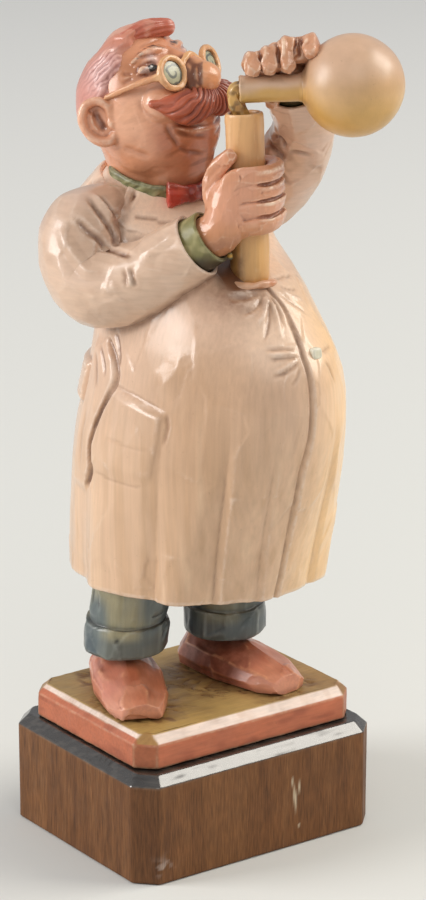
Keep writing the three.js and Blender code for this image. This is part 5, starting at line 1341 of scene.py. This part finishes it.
faceLimbs = [  # rounded ridges on the face and their radii, on the figure's right; the left is the mirror image
    ([(-10.6, -6.8, 8.2), (-7.8, -8.9, 9.3), (-4.6, -10.3, 9.5), (-2, -11, 8.8)], [0.6, 1, 1.1, 0.8]),
    ([(-10.4, -7.4, 6.6), (-8.6, -8.8, 7.3), (-6.4, -10.2, 7.4)], [0.6, 1, 0.8]),
    ([(-11.6, -7.2, 3.2), (-10, -9.4, 2.8), (-7.6, -11.6, 2.8)], [0.7, 1.1, 0.9]),
    ([(-2, -13.6, 4.4), (-2.6, -16.4, 1.6), (-3.2, -17.4, -2)], [1.4, 2.2, 2]),
]
midLimbs = [  # the nose's bridge, the lower lip and the throat
    ([(0, -10.6, 7.6), (0, -13.6, 4.6), (0, -17, 0.6)], [2, 2.8, 4], 40, 40),
    ([(-7, -13.2, -11), (-3, -15, -12.4), (0, -15.4, -12.8), (3, -15, -12.4), (7, -13.2, -11)],
     [0.5, 0.9, 1, 0.9, 0.5], 28, 60),
    ([(0, -4.8, -13.6), (0, -2, -17.2), (0, 1.4, -20.8)], [9.6, 9.8, 9.8], 60, 40),
]
faceBalls = [  # cheeks, eyeballs and chin
    ((-8.8, -10.2, -4), (5.6, 4.9, 5.4)), ((8.8, -10.2, -4), (5.6, 4.9, 5.4)),
    ((-9, -8.7, 5.4), (2.9, 1.7, 1.9)), ((9, -8.7, 5.4), (2.9, 1.7, 1.9)), ((0, -10.8, -16.2), (6, 3.4, 3)),
]
faceCuts = [  # creases on the figure's right side of the face
    fold([(-11, -7.8, 5.1), (-9.3, -8.9, 6.3), (-7.7, -10.3, 6.6), (-7, -11.2, 5.9)], 1.1, 0.5, 1, taper=0.1),
    fold([(-11, -7.8, 5), (-9.8, -9.4, 4.3), (-8.3, -11, 4.3), (-7.2, -11.3, 5)],
         0.9, 0.4, 0.95, taper=0.15),
    fold([(-11.6, -6.8, 5.4), (-12.4, -5.4, 6), (-13, -4, 6.8)], 0.9, 0.3, 0.5),
    fold([(-11.6, -6.8, 4.6), (-12.8, -5.2, 4.2), (-13.6, -3.8, 4)], 0.9, 0.3, 0.5),
    fold([(-9.8, -7.4, 8.9), (-7.4, -9.2, 8.5), (-4.6, -10.8, 8.4)], 0.8, 0.3, 0.6),
    fold([(-4.2, -12.6, 4.6), (-5, -14.4, 1.4), (-5.2, -15.2, -1.8)], 1.5, 0.8, 0.95),
    fold([(-12.7, -8, -0.4), (-13.6, -7.6, -3), (-13.9, -9.4, -5.4), (-11.6, -12.2, -8.6)], 1.4, 0.2, 0.35),
    fold([(-10.6, -12.6, -8.9), (-6.9, -14.4, -10.9), (0, -15.9, -12.4)], 1.2, 0.8, 0.9),
    fold([(-10, -11.9, -10.6), (-7, -13.5, -13), (0, -14.7, -14.7)], 1.2, 0.45, 0.85),
    fold([(-12.1, -11.6, -8.4), (-10.4, -11, -11.6), (-8.1, -10.8, -15.6)], 1.3, 0.5, 0.8),
    fold([(-9.4, -10.6, -14.6), (-6.2, -11.5, -16.7), (0, -12.2, -18.2)], 1.3, 0.45, 0.8),
    fold([(-14.4, 1.2, -10.4), (-13.6, -1.5, -12.6), (-11.6, -5, -15.2)], 1.8, 0.35, 0.3),
    fold([(-16.8, 4.6, 1.2), (-17, 3.8, -2.4), (-16.4, 3.4, -6.2)], 1.7, 0.7, 1, taper=0.2),
    fold([(-2.4, -19.8, 3.4), (-3.6, -20.2, 1.8), (-4.3, -20.2, 0), (-4.2, -19, -2.9)], 1, 0.35, 0.7),
    fold([(-8.4, -7.6, 11.4), (-4.8, -9.4, 12), (0, -10.4, 12)], 0.9, 0.25, 0.3),
]


def eyeShare(folded):  # 1 between the two lids of either eye, 0 outside
    outer, inner = np.array(eye["outer"]), np.array(eye["inner"])
    line = (inner - outer) * (1, 1, 0)
    share = ((folded - outer) @ line) / (line @ line)
    beside = np.linalg.norm((folded - outer - share[:, None] * line) * (1, 1, 0), axis=1)
    inside = ease(-0.03, 0.05, share) * ease(1.02, 0.95, share) * ease(2.2, 1.6, beside)
    inside *= ease(0.15, -0.15, folded[:, 2] - curveOn(eye["upper"], share))
    return inside * ease(-0.15, 0.15, folded[:, 2] - curveOn(eye["lower"], share))


def buildHead():
    # skull, neck, nose, cheeks, lids and ears fused into one skin, then creased; both halves of the face are
    # painted by one set of places on the figure's right
    foot = placed(np.array(head["neckFoot"]), headFrame.inverted())
    neckRadii = head["neck"] * np.array([1, 1, 1.16, 1.1])
    neck = limb(np.outer([1, 0.62, 0.34, 0.1], foot), neckRadii, 100, 60, (0, 0))
    bulb = np.array([0, -head["noseReach"], -head["noseDrop"]])
    shapes = [shellOf(skull(0)), neck, shellOf(ball(bulb, np.array([1, 0.95, 0.92]) * head["nose"]))]
    shapes += [shellOf(ball(*form)) for form in faceBalls] + [limb(*form) for form in midLimbs] + earShapes()
    shapes += [limb(places, radii, 28, 50) for stops, radii in faceLimbs for places in both(stops)]
    mesh = fused("carvedHead", shapes, head["voxel"], 5)
    faceted(mesh, 7, 0.2, 171, 4, limit=0.3)
    dark = cutInto(mesh, mirrored(faceCuts))
    local, normals = pointsOf(mesh), normalsOf(mesh)
    movePoints(mesh, placed(local, headFrame))
    washAndShade, rubAndHighlight = handled(mesh, 12, 0.24, 0.2)
    x, y, z = local.T
    folded = xyz(-np.abs(x), y, z)
    lids = eyeShare(folded)
    near = lambda place, spread: hump(0, spread, distance(folded, place))
    pupil = lids * ease(0.25, 0.4, near(eye["pupil"], 1.6))
    glint = lids * ease(0.4, 0.6, near(eye["glint"], 0.5))
    line = through(eye["brow"], np.linspace(0, 1, 40))
    brow = ease(1.3, 0.7, distance(folded[:, None], line[None]).min(1))
    hairs = local @ np.array([[0.8, 0, 0.6], [0, 1, 0], [-0.6, 0, 0.8]]) * (0.5, 0.5, 2.2)
    brow *= 0.9 * patches(hairs, 0.8, 175, -0.3, 0.2)
    noseNear = hump(0, 5.4, distance(local, bulb))
    chin = ease(-5, -12, z) * ease(-4, -11, y)
    ear = ease(14.6, 15.8, np.abs(x)) * ease(0, 2.5, y)
    shade = ease(-0.1, 0.2, normals @ np.array([-0.565, 0.765, 0.309]) + 0.1 * softNoise(local, 2, 186))
    shade *= 0.9 * ease(-12.4, -13.6, y) * ease(7, 6, np.abs(x)) * ease(-5.6, -4.6, z) * ease(7, 5.5, z)
    paint = blended(
        (216, 148, 110), (patches(local, 7, 177, -0.2, 0.7) * 0.45, (222, 160, 128)),
        (patches(local, 4, 179, 0.1, 0.8) * 0.45, (196, 122, 80)),
        # painted light: paler cheek and jaw
        (near((-12.4, -9, 0.8), 4) * 0.6, (230, 186, 160)),
        (near((-15.5, -3.5, -5), 8) * 0.6, (228, 178, 146)),
        # painted shade: browner chin under the moustache and hollow round the eye
        (chin * (0.65 + 0.3 * softNoise(local, 3, 181)), (172, 94, 60)),
        (near((-11.4, -6, 7), 4.6) * 0.8, (172, 108, 68)), (noseNear * 0.75, (218, 156, 98)),
        # painted shade on the nose's side and a painted highlight on the upper lid
        (shade, (112, 66, 42)), (near((-7, -10, 7.7), 1.5) * 0.85, (230, 206, 204)),
        (ear * 0.3, (224, 158, 128)), (brow, (58, 52, 56)), (lids, (192, 164, 154)),
        (pupil, (30, 24, 22)), (glint, (245, 242, 238)))
    wrinkle = chin * patches(local * (0.12, 0.12, 1) + 0.2 * y[:, None], 0.9, 185, 0, 0.6)
    brushed = patches(local * (0.3, 0.3, 1), 0.9, 188, 0.1, 0.7) * ease(8, 2, z)
    shadeAboveCollar = 0.35 * ease(-14, -19, z) * ease(-12, -4, y)
    washAndShade = most(washAndShade * 0.85, dark, 0.5 * shade, shadeAboveCollar, 0.55 * wrinkle, 0.13 * brushed)
    shown = 1 - lids
    piece(mesh, "head", "skin_paint", paint, washAndShade * shown, rubAndHighlight * shown, local * (1, 0.3, 1))


hair = dict(
    rise=3.5, slope=38, thick=1.7, edge=[(-4, -1), (1.7, -0.4), (4.6, 1.2), (7.6, 1.5), (11.5, 3.4), (15, 4)],
    lock=[(-6.2, -4, 14.8), (-2, -8, 15.2), (2.2, -10.6, 14.3)], lockRadii=[2, 2.7, 2.4],
    grid=(280, 170), foot=40,
)


def buildHair():
    # the skull pushed out by the hair's thickness above a sloping hairline and in below it, and the front lock
    # as a limb with strands along it
    slope = math.radians(hair["slope"])
    plain = skull(0, *hair["grid"])
    wobble = 0.5 * softNoise(plain, 3.4, 181) + 0.4 * softNoise(plain, 1.4, 183)
    back, rise = plain[..., 1], plain[..., 2]
    above = back * math.sin(slope) + (rise - hair["rise"]) * math.cos(slope) + wobble
    above -= curveOn(hair["edge"], rise) * ease(9, 3, back)
    grow = -1.2 + (hair["thick"] + 1 + 0.8 * ease(3, 11, back)) * ease(-0.9, 0.9, above)
    strands = lambda share, angle: 1 - 0.10 * np.abs(np.cos(5 * angle + 2 * share)) ** 3
    lock = limb(hair["lock"], hair["lockRadii"], 90, 60, (1, 1), strands)
    mesh = meshOf("carvedHair", joined([shellOf(skull(grow, *hair["grid"])[hair["foot"]:]), lock]))
    local = pointsOf(mesh)
    onLock = np.arange(len(local)) >= len(local) - len(lock[0])
    temple = hump(0, 6, np.hypot((local[:, 1] - 0.5) * 0.9, local[:, 2] - 8.5))
    temple *= ease(9, 11.5, np.abs(local[:, 0])) * (1 - onLock)
    zigzag = np.sin(4.4 * local[:, 2] + 2.2 * local[:, 1] + 3 * softNoise(local, 1.6, 187))
    comb = softNoise(local * (1, 0.12, 0.5), 1.4, 189)
    swell(mesh, temple * 0.3 * zigzag + (1 - temple) * 0.14 * comb)
    local = faceted(mesh, 8, 0.4, 191, 4, limit=0.3)
    movePoints(mesh, placed(local, headFrame))
    washAndShade, rubAndHighlight = handled(mesh, 5, 0.14, 0.12)
    crown, combed = ease(9, 14, local[:, 2]), 0.6 * ease(0, 0.6, comb)
    paint = blended(
        (204, 134, 112), (patches(local, 7, 193, -0.2, 0.7) * 0.5, (208, 144, 126)),
        (ease(-2, 9, local[:, 1]) * 0.4, (214, 146, 138)), (crown * 0.4, (204, 128, 98)),
        (temple * 0.75, (224, 182, 178)), (temple * ease(0, 0.8, -zigzag) * 0.6, (152, 92, 90)),
        (crown * combed, (222, 172, 150)), (onLock * 0.85, (186, 92, 68)), (onLock * combed, (218, 150, 126)))
    washAndShade = most(washAndShade * 0.8, 0.25 * temple * ease(0.2, 0.9, -zigzag))
    piece(mesh, "hair", "hair_paint", paint, washAndShade, rubAndHighlight, local * (1, 0.08, 0.4))


moustache = dict(
    reach=17.4, drop=6.8, half=14.8, radius=4.8, root=-2,
    stops=[(-1, 5.4, 3.6, 0.22), (-0.52, 1.2, 0.4, 0.95), (0, 0, 0.8, 0.8), (0.52, 1.2, 0.4, 0.95),
           (1, 5.4, 3.6, 0.22)],  # side, back, lift and girth
)


def buildMoustache():
    # a drooping limb; its strands fan out from the nose's foot, so a groove's place is the bearing from there
    size = moustache
    side, back, lift, girth = np.array(size["stops"]).T
    stops = xyz(side * size["half"], back - size["reach"], lift - size["drop"])
    mesh = meshOf("carvedMoustache", limb(stops, girth * size["radius"], 150, 330))
    local = pointsOf(mesh)
    x, y, z = local.T
    bearing = np.arctan2(x, size["root"] - z + 1.5)
    away = np.hypot(x, z - size["root"])
    groove = np.abs(np.cos(17 * bearing + 1.1 * softNoise(local, 2.6, 196))) ** 5
    fine = softNoise(xyz(bearing * 14, away * 0.12, 0), 0.7, 197)
    front = ease(0.35, -0.1, normalsOf(mesh)[:, 1])
    local = swell(mesh, -front * ease(0.3, 3, away) * (0.42 * groove + 0.14 * fine))
    movePoints(mesh, placed(local, headFrame))
    washAndShade, rubAndHighlight = handled(mesh, 6, 0.14, 0.12)
    x, y, z = local.T
    # painted light on the near tip; painted shade on the far half and under the nose
    paint = blended(
        (156, 72, 42), (patches(local, 3, 199, -0.2, 0.7) * 0.5, (172, 84, 50)),
        (ease(0, 0.7, fine) * 0.5, (134, 58, 38)), (ease(0.2, 0.9, groove) * 0.5, (112, 44, 30)),
        (ease(0.1, 0.7, -fine) * 0.25, (206, 128, 106)), (ease(-7, -14, x) * 0.5, (200, 108, 80)),
        (ease(-3, 6, x) * 0.45, (120, 58, 48)), (ease(-5.6, -3.2, z) * hump(0, 6, x) * 0.8, (84, 44, 36)))
    lay = xyz(bearing * 10, away * 0.1, 0)
    piece(mesh, "moustache", "moustache_paint", paint, washAndShade * 0.8, rubAndHighlight, lay)


spectacles = dict(
    radius=3.9, thickness=1.5, depth=1.6, spread=8.2, reach=15.8, rise=2.6, wrap=11, bridgeFoot=0.6,
    bridgeRise=3.4, root=0.8, bow=2.4, armEnd=(15.2, 0.7, 2), voxel=0.17,
)


def rimFrame(side):
    size = spectacles
    place = Matrix.Translation((side * size["spread"], -size["reach"], size["rise"]))
    return place @ spin(side * size["wrap"], "Z") @ spin(90, "X")


def ringShape(profile, around, matrix, wave=lambda angle: 1 + 0 * angle):
    # a closed profile carried round Z, its radius varied by the wave: a ring of quads, set in a frame
    angle = circle(around)[:, None]
    reach = wave(angle) * profile[:, 0]
    grid = xyz(reach * np.cos(angle), reach * np.sin(angle), profile[:, 1])
    index = np.arange(reach.size).reshape(reach.shape)
    right, down = np.roll(index, -1, axis=1), np.roll(index, -1, axis=0)
    quads = np.stack([index, right, np.roll(down, -1, axis=1), down], axis=-1)
    return placed(grid.reshape(-1, 3), matrix), [quads.reshape(-1, 4)]


def buildSpectacles():
    # two chunky rims with rounded edges, a bridge and two side arms, fused
    size = spectacles
    radius, half, rise, reach = size["radius"], size["depth"] / 2, size["rise"], -size["reach"]
    inner, outer = radius - size["thickness"] / 2, radius + size["thickness"] / 2
    rim = np.array([(inner, -half), (outer - 0.3, -half), (outer, 0.4 - half), (outer, half - 0.4),
                    (outer - 0.4, half), (inner + 0.3, half), (inner, half - 0.3)])
    gap, hinge = size["spread"] - radius, size["spread"] + radius
    shapes = []
    for side in (-1, 1):
        shapes.append(ringShape(rim, 90, rimFrame(side)))
        bow = (hinge + size["bow"], reach / 2, rise)
        arm = np.array([(hinge - 0.2, reach + size["root"], rise), bow, size["armEnd"]])
        shapes.append(limb(arm * (side, 1, 1), [0.95, 0.8, 0.7], 24, 60))
    foot, crest = rise + size["bridgeFoot"], rise + size["bridgeRise"]
    bridge = [(-gap, reach, foot), (0, reach - 0.6, crest), (gap, reach, foot)]
    shapes.append(limb(bridge, [0.9, 0.85, 0.9], 24, 40))
    mesh = fused("carvedSpectacles", shapes, size["voxel"], 3)
    local = faceted(mesh, 2.6, 0.5, 211, 1, limit=0.2)
    movePoints(mesh, placed(local, headFrame))
    washAndShade, rubAndHighlight = handled(mesh, 6, 0.10, 0.10)
    arms = ease(-14.6, -12.5, local[:, 1])
    paint = blended(
        (222, 168, 116), (patches(local, 3, 213, -0.2, 0.7) * 0.5, (228, 182, 138)),
        (patches(local, 2, 215, 0.1, 0.8) * 0.5, (196, 134, 84)), (arms * 0.7, (214, 148, 108)))
    # painted shade on the lower side of the side arms
    under = 0.5 * arms * ease(2.6, 1.8, local[:, 2] - curveOn([(-16, 0), (0.7, -0.6)], local[:, 1]))
    piece(mesh, "spectacle_frame", "rim_paint", paint, most(washAndShade * 0.8, under), rubAndHighlight)


def buildLens(name, side):
    # a shallow dish with a painted swirl: a band's place turns with the bearing as it nears the middle
    radius = spectacles["radius"] - spectacles["thickness"] / 2 - 0.05
    dish = np.linspace(1, 0.04, 40)
    share = np.append([0.9, 1], dish)[:, None] * radius
    high = np.append([-0.5, -0.5], 0.05 + 0.3 * (1 - dish ** 2))[:, None]
    angle = circle(100)
    grid = xyz(share * np.cos(angle), share * np.sin(angle), high)
    mesh = meshOf(name + "Looks", shellOf(grid))
    local = pointsOf(mesh)
    away = np.hypot(local[:, 0], local[:, 1]) / radius
    bearing = np.arctan2(local[:, 1], local[:, 0])
    phase = 9.5 * away + bearing + 1.2 * softNoise(local, 1.2, 219)
    swirl = ease(0.1, 0.8, np.sin(phase)) * ease(0.12, 0.3, away)
    paint = blended(
        (172, 172, 142), (patches(local, 1.6, 221, -0.2, 0.6) * 0.5, (150, 154, 130)),
        (swirl * 0.9, (74, 80, 74)), (ease(0.82, 1, away) * 0.8, (92, 78, 58)))
    movePoints(mesh, placed(placed(local, rimFrame(side)), headFrame))
    piece(mesh, name, "lens_paint", paint, ease(0.85, 1, away), 0)


# Shirt collar and bow tie

shirtCollar = dict(radius=13.2, inner=11.7, height=8, rise=94.5, tilt=12, side=-1.2, back=13.5)


def buildShirtCollar():
    # a band round the neck: a rounded wall profile carried round it, tipped down at the front
    inner, outer, high = (shirtCollar[key] for key in ("inner", "radius", "height"))
    closed = np.array([(inner, 0), (outer, 0), (outer + 0.1, 4), (outer, high - 0.6), (outer - 0.4, high),
                       (inner + 0.2, high - 0.1), (inner, high - 0.6), (inner, 0)])
    lengths = np.concatenate([[0], np.cumsum(np.linalg.norm(np.diff(closed, axis=0), axis=1))])
    places = np.linspace(0, lengths[-1], 70, endpoint=False)
    wall = np.stack([np.interp(places, lengths, column) for column in closed.T], axis=-1)
    matrix = Matrix.Translation((shirtCollar["side"], shirtCollar["back"], hemLevel + shirtCollar["rise"]))
    matrix = matrix @ spin(shirtCollar["tilt"], "X")
    wave = lambda angle: 1 + 0.008 * np.sin(7 * angle) + 0.006 * np.sin(13 * angle + 1)
    mesh = meshOf("shirtCollarBand", ringShape(wall, 220, matrix, wave))
    x, y, z = pointsOf(mesh).T
    strokes = softNoise(xyz(x + z, y, (z - x) * 3) * 0.6, 1.3, 231)
    points = swell(mesh, 0.14 * strokes)
    washAndShade, rubAndHighlight = handled(mesh, 4, 0.12, 0.09)
    paint = blended(
        (128, 128, 84), (ease(0, 0.7, strokes) * 0.65, (172, 168, 124)),
        (patches(points, 4, 237, 0, 0.7) * 0.6, (84, 78, 46)), (ease(0.1, 0.8, -strokes) * 0.5, (74, 66, 40)))
    rise = placed(points, matrix.inverted())[:, 2]
    washAndShade = most(washAndShade, 0.8 * ease(3.4, 1, rise), 0.6 * ease(6.6, 7.8, rise))
    piece(mesh, "shirt_collar", "shirt_paint", paint, washAndShade, rubAndHighlight)


bowTie = dict(half=6.8, height=7.2, thickness=3.6, knot=2.4, share=0.85, reach=12.9, voxel=0.16)


def buildBowTie():
    # two wings that widen from the knot and bend back round the collar, pleated towards it
    size, band = bowTie, shirtCollar
    thick, knot = size["thickness"], size["knot"]
    front = size["reach"] + 2 * seam + thick / 2
    middle = hemLevel + band["rise"] + band["height"] * size["share"]
    middle -= front * math.sin(math.radians(band["tilt"]))
    share = np.append(np.linspace(0.02, 0.97, 50), [1, 1, 1])[:, None]
    shrink = np.append(np.ones(50), [0.85, 0.5, 0.1])[:, None]
    angle = circle(90)[None]
    high = (knot + (size["height"] - knot) * share ** 0.8) / 2 * shrink
    pleat = 1 + 0.16 * np.sin(9 * np.sin(angle) + 1) * ease(0.1, 0.5, share)
    radius = front + thick / 2 * (0.8 + 0.2 * share) * shrink * pleat * np.cos(angle)
    above = middle + high * np.sign(np.sin(angle)) * np.abs(np.sin(angle)) ** 0.75
    shapes = []
    for side in (-1, 1):
        turn = side * share * size["half"] / front
        x, y = band["side"] + radius * np.sin(turn), band["back"] - radius * np.cos(turn)
        shapes.append(shellOf(xyz(x, y, above)))
    shapes.append(shellOf(ball((band["side"], band["back"] - front, middle), (knot, thick * 0.7, knot))))
    mesh = fused("carvedBowTie", shapes, size["voxel"], 2)
    points = faceted(mesh, 3, 0.5, 241, 1.5, limit=0.3)
    washAndShade, rubAndHighlight = handled(mesh, 6, 0.12, 0.09)
    paint = blended(
        (190, 66, 50), (patches(points, 2.4, 243, -0.1, 0.6) * 0.6, (210, 98, 76)),
        (patches(points, 1.6, 245, 0, 0.7) * 0.6, (128, 34, 30)))
    x, y, z = points.T
    # painted shade on the upper part, the knot and the wing on the figure's left
    washAndShade = most(washAndShade, 0.6 * ease(1, 3, z - middle), 0.75 * ease(-5, -1, x - band["side"]))
    piece(mesh, "bow_tie", "tie_paint", paint, washAndShade, rubAndHighlight)


# Finishes, by slot

looks = dict(
    walnut=dict(
        rough=0.55, specular=0.25, glaze=0.05, glazeRough=0.14, glazeIndex=1.9, lacquer=True, grain=0.42,
        grainSize=0.4, mottle=0.12, washAndShadeColour=(34, 22, 16), rubAndHighlightColour=(178, 152, 124), rubAndHighlight=0.25, bump=0.08),
    plinth_paint=dict(
        rough=0.5, glaze=0.15, grain=0.14, mottle=0.14, rubAndHighlightColour=(222, 196, 160), rubAndHighlight=0.2, bump=0.12),
    shoe_paint=dict(
        rough=0.36, glaze=0.4, mottle=0.12, washAndShadeColour=(104, 50, 30), rubAndHighlightColour=(236, 172, 132), rubAndHighlight=0.45),
    trouser_paint=dict(
        rough=0.42, glaze=0.35, mottle=0.14, grain=0.12, washAndShadeColour=(38, 36, 34), rubAndHighlightColour=(190, 194, 188),
        rubAndHighlight=0.25),
    coat_paint=dict(
        rough=0.36, glaze=0.5, glazeRough=0.14, mottle=0.06, mottleSize=14, grain=0.08, grainSize=1.0,
        washAndShadeColour=(116, 72, 46), rubAndHighlightColour=(246, 226, 210), bump=0.09, speck=0.16),
    # skin: strong pale edges, partly worn paint and partly painted highlights
    skin_paint=dict(
        rough=0.36, glaze=0.55, glazeRough=0.13, mottle=0.08, grain=0.06, washAndShadeColour=(116, 58, 32),
        rubAndHighlightColour=(250, 222, 196), rubAndHighlight=0.65, bump=0.07, speck=0.16),
    hair_paint=dict(
        rough=0.36, glaze=0.4, mottle=0.08, grain=0.08, washAndShadeColour=(124, 60, 48), rubAndHighlightColour=(236, 194, 186),
        bump=0.06, speck=0.12),
    moustache_paint=dict(
        mottle=0.12, grain=0.14, washAndShadeColour=(70, 26, 20), rubAndHighlightColour=(210, 132, 110), rubAndHighlight=0.4, bump=0.08),
    shirt_paint=dict(
        rough=0.48, glaze=0.2, grain=0.14, washAndShadeColour=(56, 46, 26), rubAndHighlightColour=(190, 190, 152), rubAndHighlight=0.4),
    tie_paint=dict(
        rough=0.38, glaze=0.4, mottle=0.12, grain=0.08, washAndShadeColour=(78, 18, 14), rubAndHighlightColour=(236, 166, 146),
        rubAndHighlight=0.4),
    glassware_paint=dict(
        rough=0.38, glaze=0.5, glazeRough=0.3, mottle=0.06, grain=0.05, washAndShadeColour=(112, 68, 28),
        rubAndHighlightColour=(246, 222, 184), bump=0.12, speck=0.15),
    liquid_paint=dict(
        rough=0.35, glaze=0.4, mottle=0.2, washAndShadeColour=(84, 56, 28), rubAndHighlightColour=(236, 210, 150), rubAndHighlight=0.4),
    rim_paint=dict(
        rough=0.36, glaze=0.4, mottle=0.08, washAndShadeColour=(120, 70, 32), rubAndHighlightColour=(248, 220, 176), rubAndHighlight=0.4,
        bump=0.05),
    lens_paint=dict(rough=0.3, glaze=0.6, mottle=0.08, washAndShadeColour=(60, 50, 38), rubAndHighlight=0.0, bump=0.03),
    button_paint=dict(mottle=0.08, washAndShadeColour=(112, 92, 66), rubAndHighlightColour=(244, 240, 226), rubAndHighlight=0.4),
)
finishes = {slot: paintedWood(slot.split("_")[0] + "Look", **look) for slot, look in looks.items()}


def bareWood(name):  # pale turned dowel: two colours along a stretched noise
    material, add = newMaterial(name)
    along = add("Mapping", Vector=add("TexCoord", out=3), Scale=(900, 900, 60))
    streak = add("TexNoise", Vector=along, Scale=1.0, Detail=4.0)
    bump = add("Bump", Height=streak, Strength=0.4, Distance=0.0001)
    colour = mixed(add, streak, (196, 160, 112), (232, 206, 164))
    add("OutputMaterial", Surface=add("BsdfPrincipled", Base_Color=colour, Roughness=0.6, Normal=bump))
    return material


def brushedSteel(name):  # zinc-grey screw: brightness and roughness follow a fine noise
    material, add = newMaterial(name)
    fine = add("TexNoise", Vector=add("TexCoord", out=3), Scale=1800.0, Detail=3.0)
    colour = mixed(add, fine, (150, 148, 142), (206, 204, 198))
    rough = add("MapRange", Value=fine, To_Min=0.28, To_Max=0.5)
    add("OutputMaterial", Surface=add("BsdfPrincipled", Base_Color=colour, Metallic=1.0, Roughness=rough))
    return material


hiddenFinishes = {"dowel": bareWood("dowelLook"), "screw": brushedSteel("screwLook")}
for nodeName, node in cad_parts.items():
    for word, finish in hiddenFinishes.items():
        if word in nodeName:
            node.data.materials.clear()
            node.data.materials.append(finish)

buildBlock()
buildPlinth()
for name, foot in feet.items():
    buildShoe(name, foot)
    buildTrouser(name, foot)
print("stage: block, plinth and legs")
buildCoat()
buildButton()
for name in sleeves:
    buildSleeve(name)
    buildCuff(name)
print("stage: coat and sleeves")
buildTube()
buildFlask()
buildStream()
buildHand("right", *rightHandShapes())
buildHand("left", *leftHandShapes())
print("stage: glassware and hands")
buildHead()
buildHair()
buildMoustache()
buildSpectacles()
buildLens("right_lens", -1)
buildLens("left_lens", 1)
buildShirtCollar()
buildBowTie()
print("stage: head, collar and tie")


# Floor, light and camera

def buildFloor():  # a wide disc under the block, painted paler away from the object, where the lamps light it less
    radius, sides = 8.0, 96
    angle = circle(sides)
    rim = xyz(radius * np.cos(angle), radius * np.sin(angle), -0.0002)
    mesh = bpy.data.meshes.new("floor")
    mesh.from_pydata(rim.tolist(), [], [list(range(sides))])
    material, add = newMaterial("floorLook")
    reach = add("VectorMath", out=1, settings={"operation": "LENGTH"}, i0=add("TexCoord", out=3))
    smooth = {"interpolation_type": "SMOOTHSTEP"}
    far = add("MapRange", settings=smooth, Value=reach, From_Min=0.1, From_Max=1.2)
    tone = mixed(add, far, (220, 221, 218), (244, 244, 242))
    add("OutputMaterial", Surface=add("BsdfPrincipled", Base_Color=tone, Roughness=0.9, Specular_IOR_Level=0.1))
    mesh.materials.append(material)
    floor = bpy.data.objects.new("floor", mesh)
    scene.collection.objects.link(floor)


lamps = dict(
    left=dict(place=(-1.0, 0.5, 0.6), size=0.6, power=9.8, colour=(1.0, 0.975, 0.955)),
    right=dict(place=(0.86, -0.47, 0.92), size=0.75, power=11.0, colour=(1.0, 0.95, 0.86)),
    front=dict(place=(-0.5, -1.1, 1.1), size=1.0, power=3.2, colour=(1.0, 0.95, 0.87)),
)
lookPoint = Vector((0, 0, 0.11))
sky = dict(Color=(0.98, 0.99, 1.0, 1), Strength=0.43)


def buildLights():
    for name, lamp in lamps.items():
        light = bpy.data.lights.new(name, "AREA")
        light.shape = "SQUARE"
        light.size = lamp["size"]
        light.energy = lamp["power"]
        light.color = lamp["colour"]
        obj = bpy.data.objects.new(name, light)
        obj.location = lamp["place"]
        obj.rotation_euler = (Vector(lamp["place"]) - lookPoint).to_track_quat("Z", "Y").to_euler()
        scene.collection.objects.link(obj)
    scene.world = bpy.data.worlds.new("studio")
    scene.world.use_nodes = True
    for key, value in sky.items():
        scene.world.node_tree.nodes["Background"].inputs[key].default_value = value


view = dict(
    place=(-0.4919, -0.6967, 0.3721), right=(0.8133, -0.5818, 0.0), up=(0.1761, 0.2462, 0.9530),
    back=(-0.5545, -0.7751, 0.3027), lens=140.0, sensor=36, nearest=0.01, farthest=50,
)


def buildCamera():
    data = bpy.data.cameras.new("camera")
    data.lens = view["lens"]
    data.sensor_width = view["sensor"]
    data.clip_start = view["nearest"]
    data.clip_end = view["farthest"]
    camera = bpy.data.objects.new("camera", data)
    columns = [Vector(view[key]).normalized() for key in ("right", "up", "back")]
    camera.matrix_world = Matrix.Translation(view["place"]) @ Matrix(columns).transposed().to_4x4()
    scene.collection.objects.link(camera)
    scene.camera = camera


buildFloor()
buildLights()
buildCamera()
scene.view_settings.view_transform = "Standard"
print("stage: floor, light and camera")
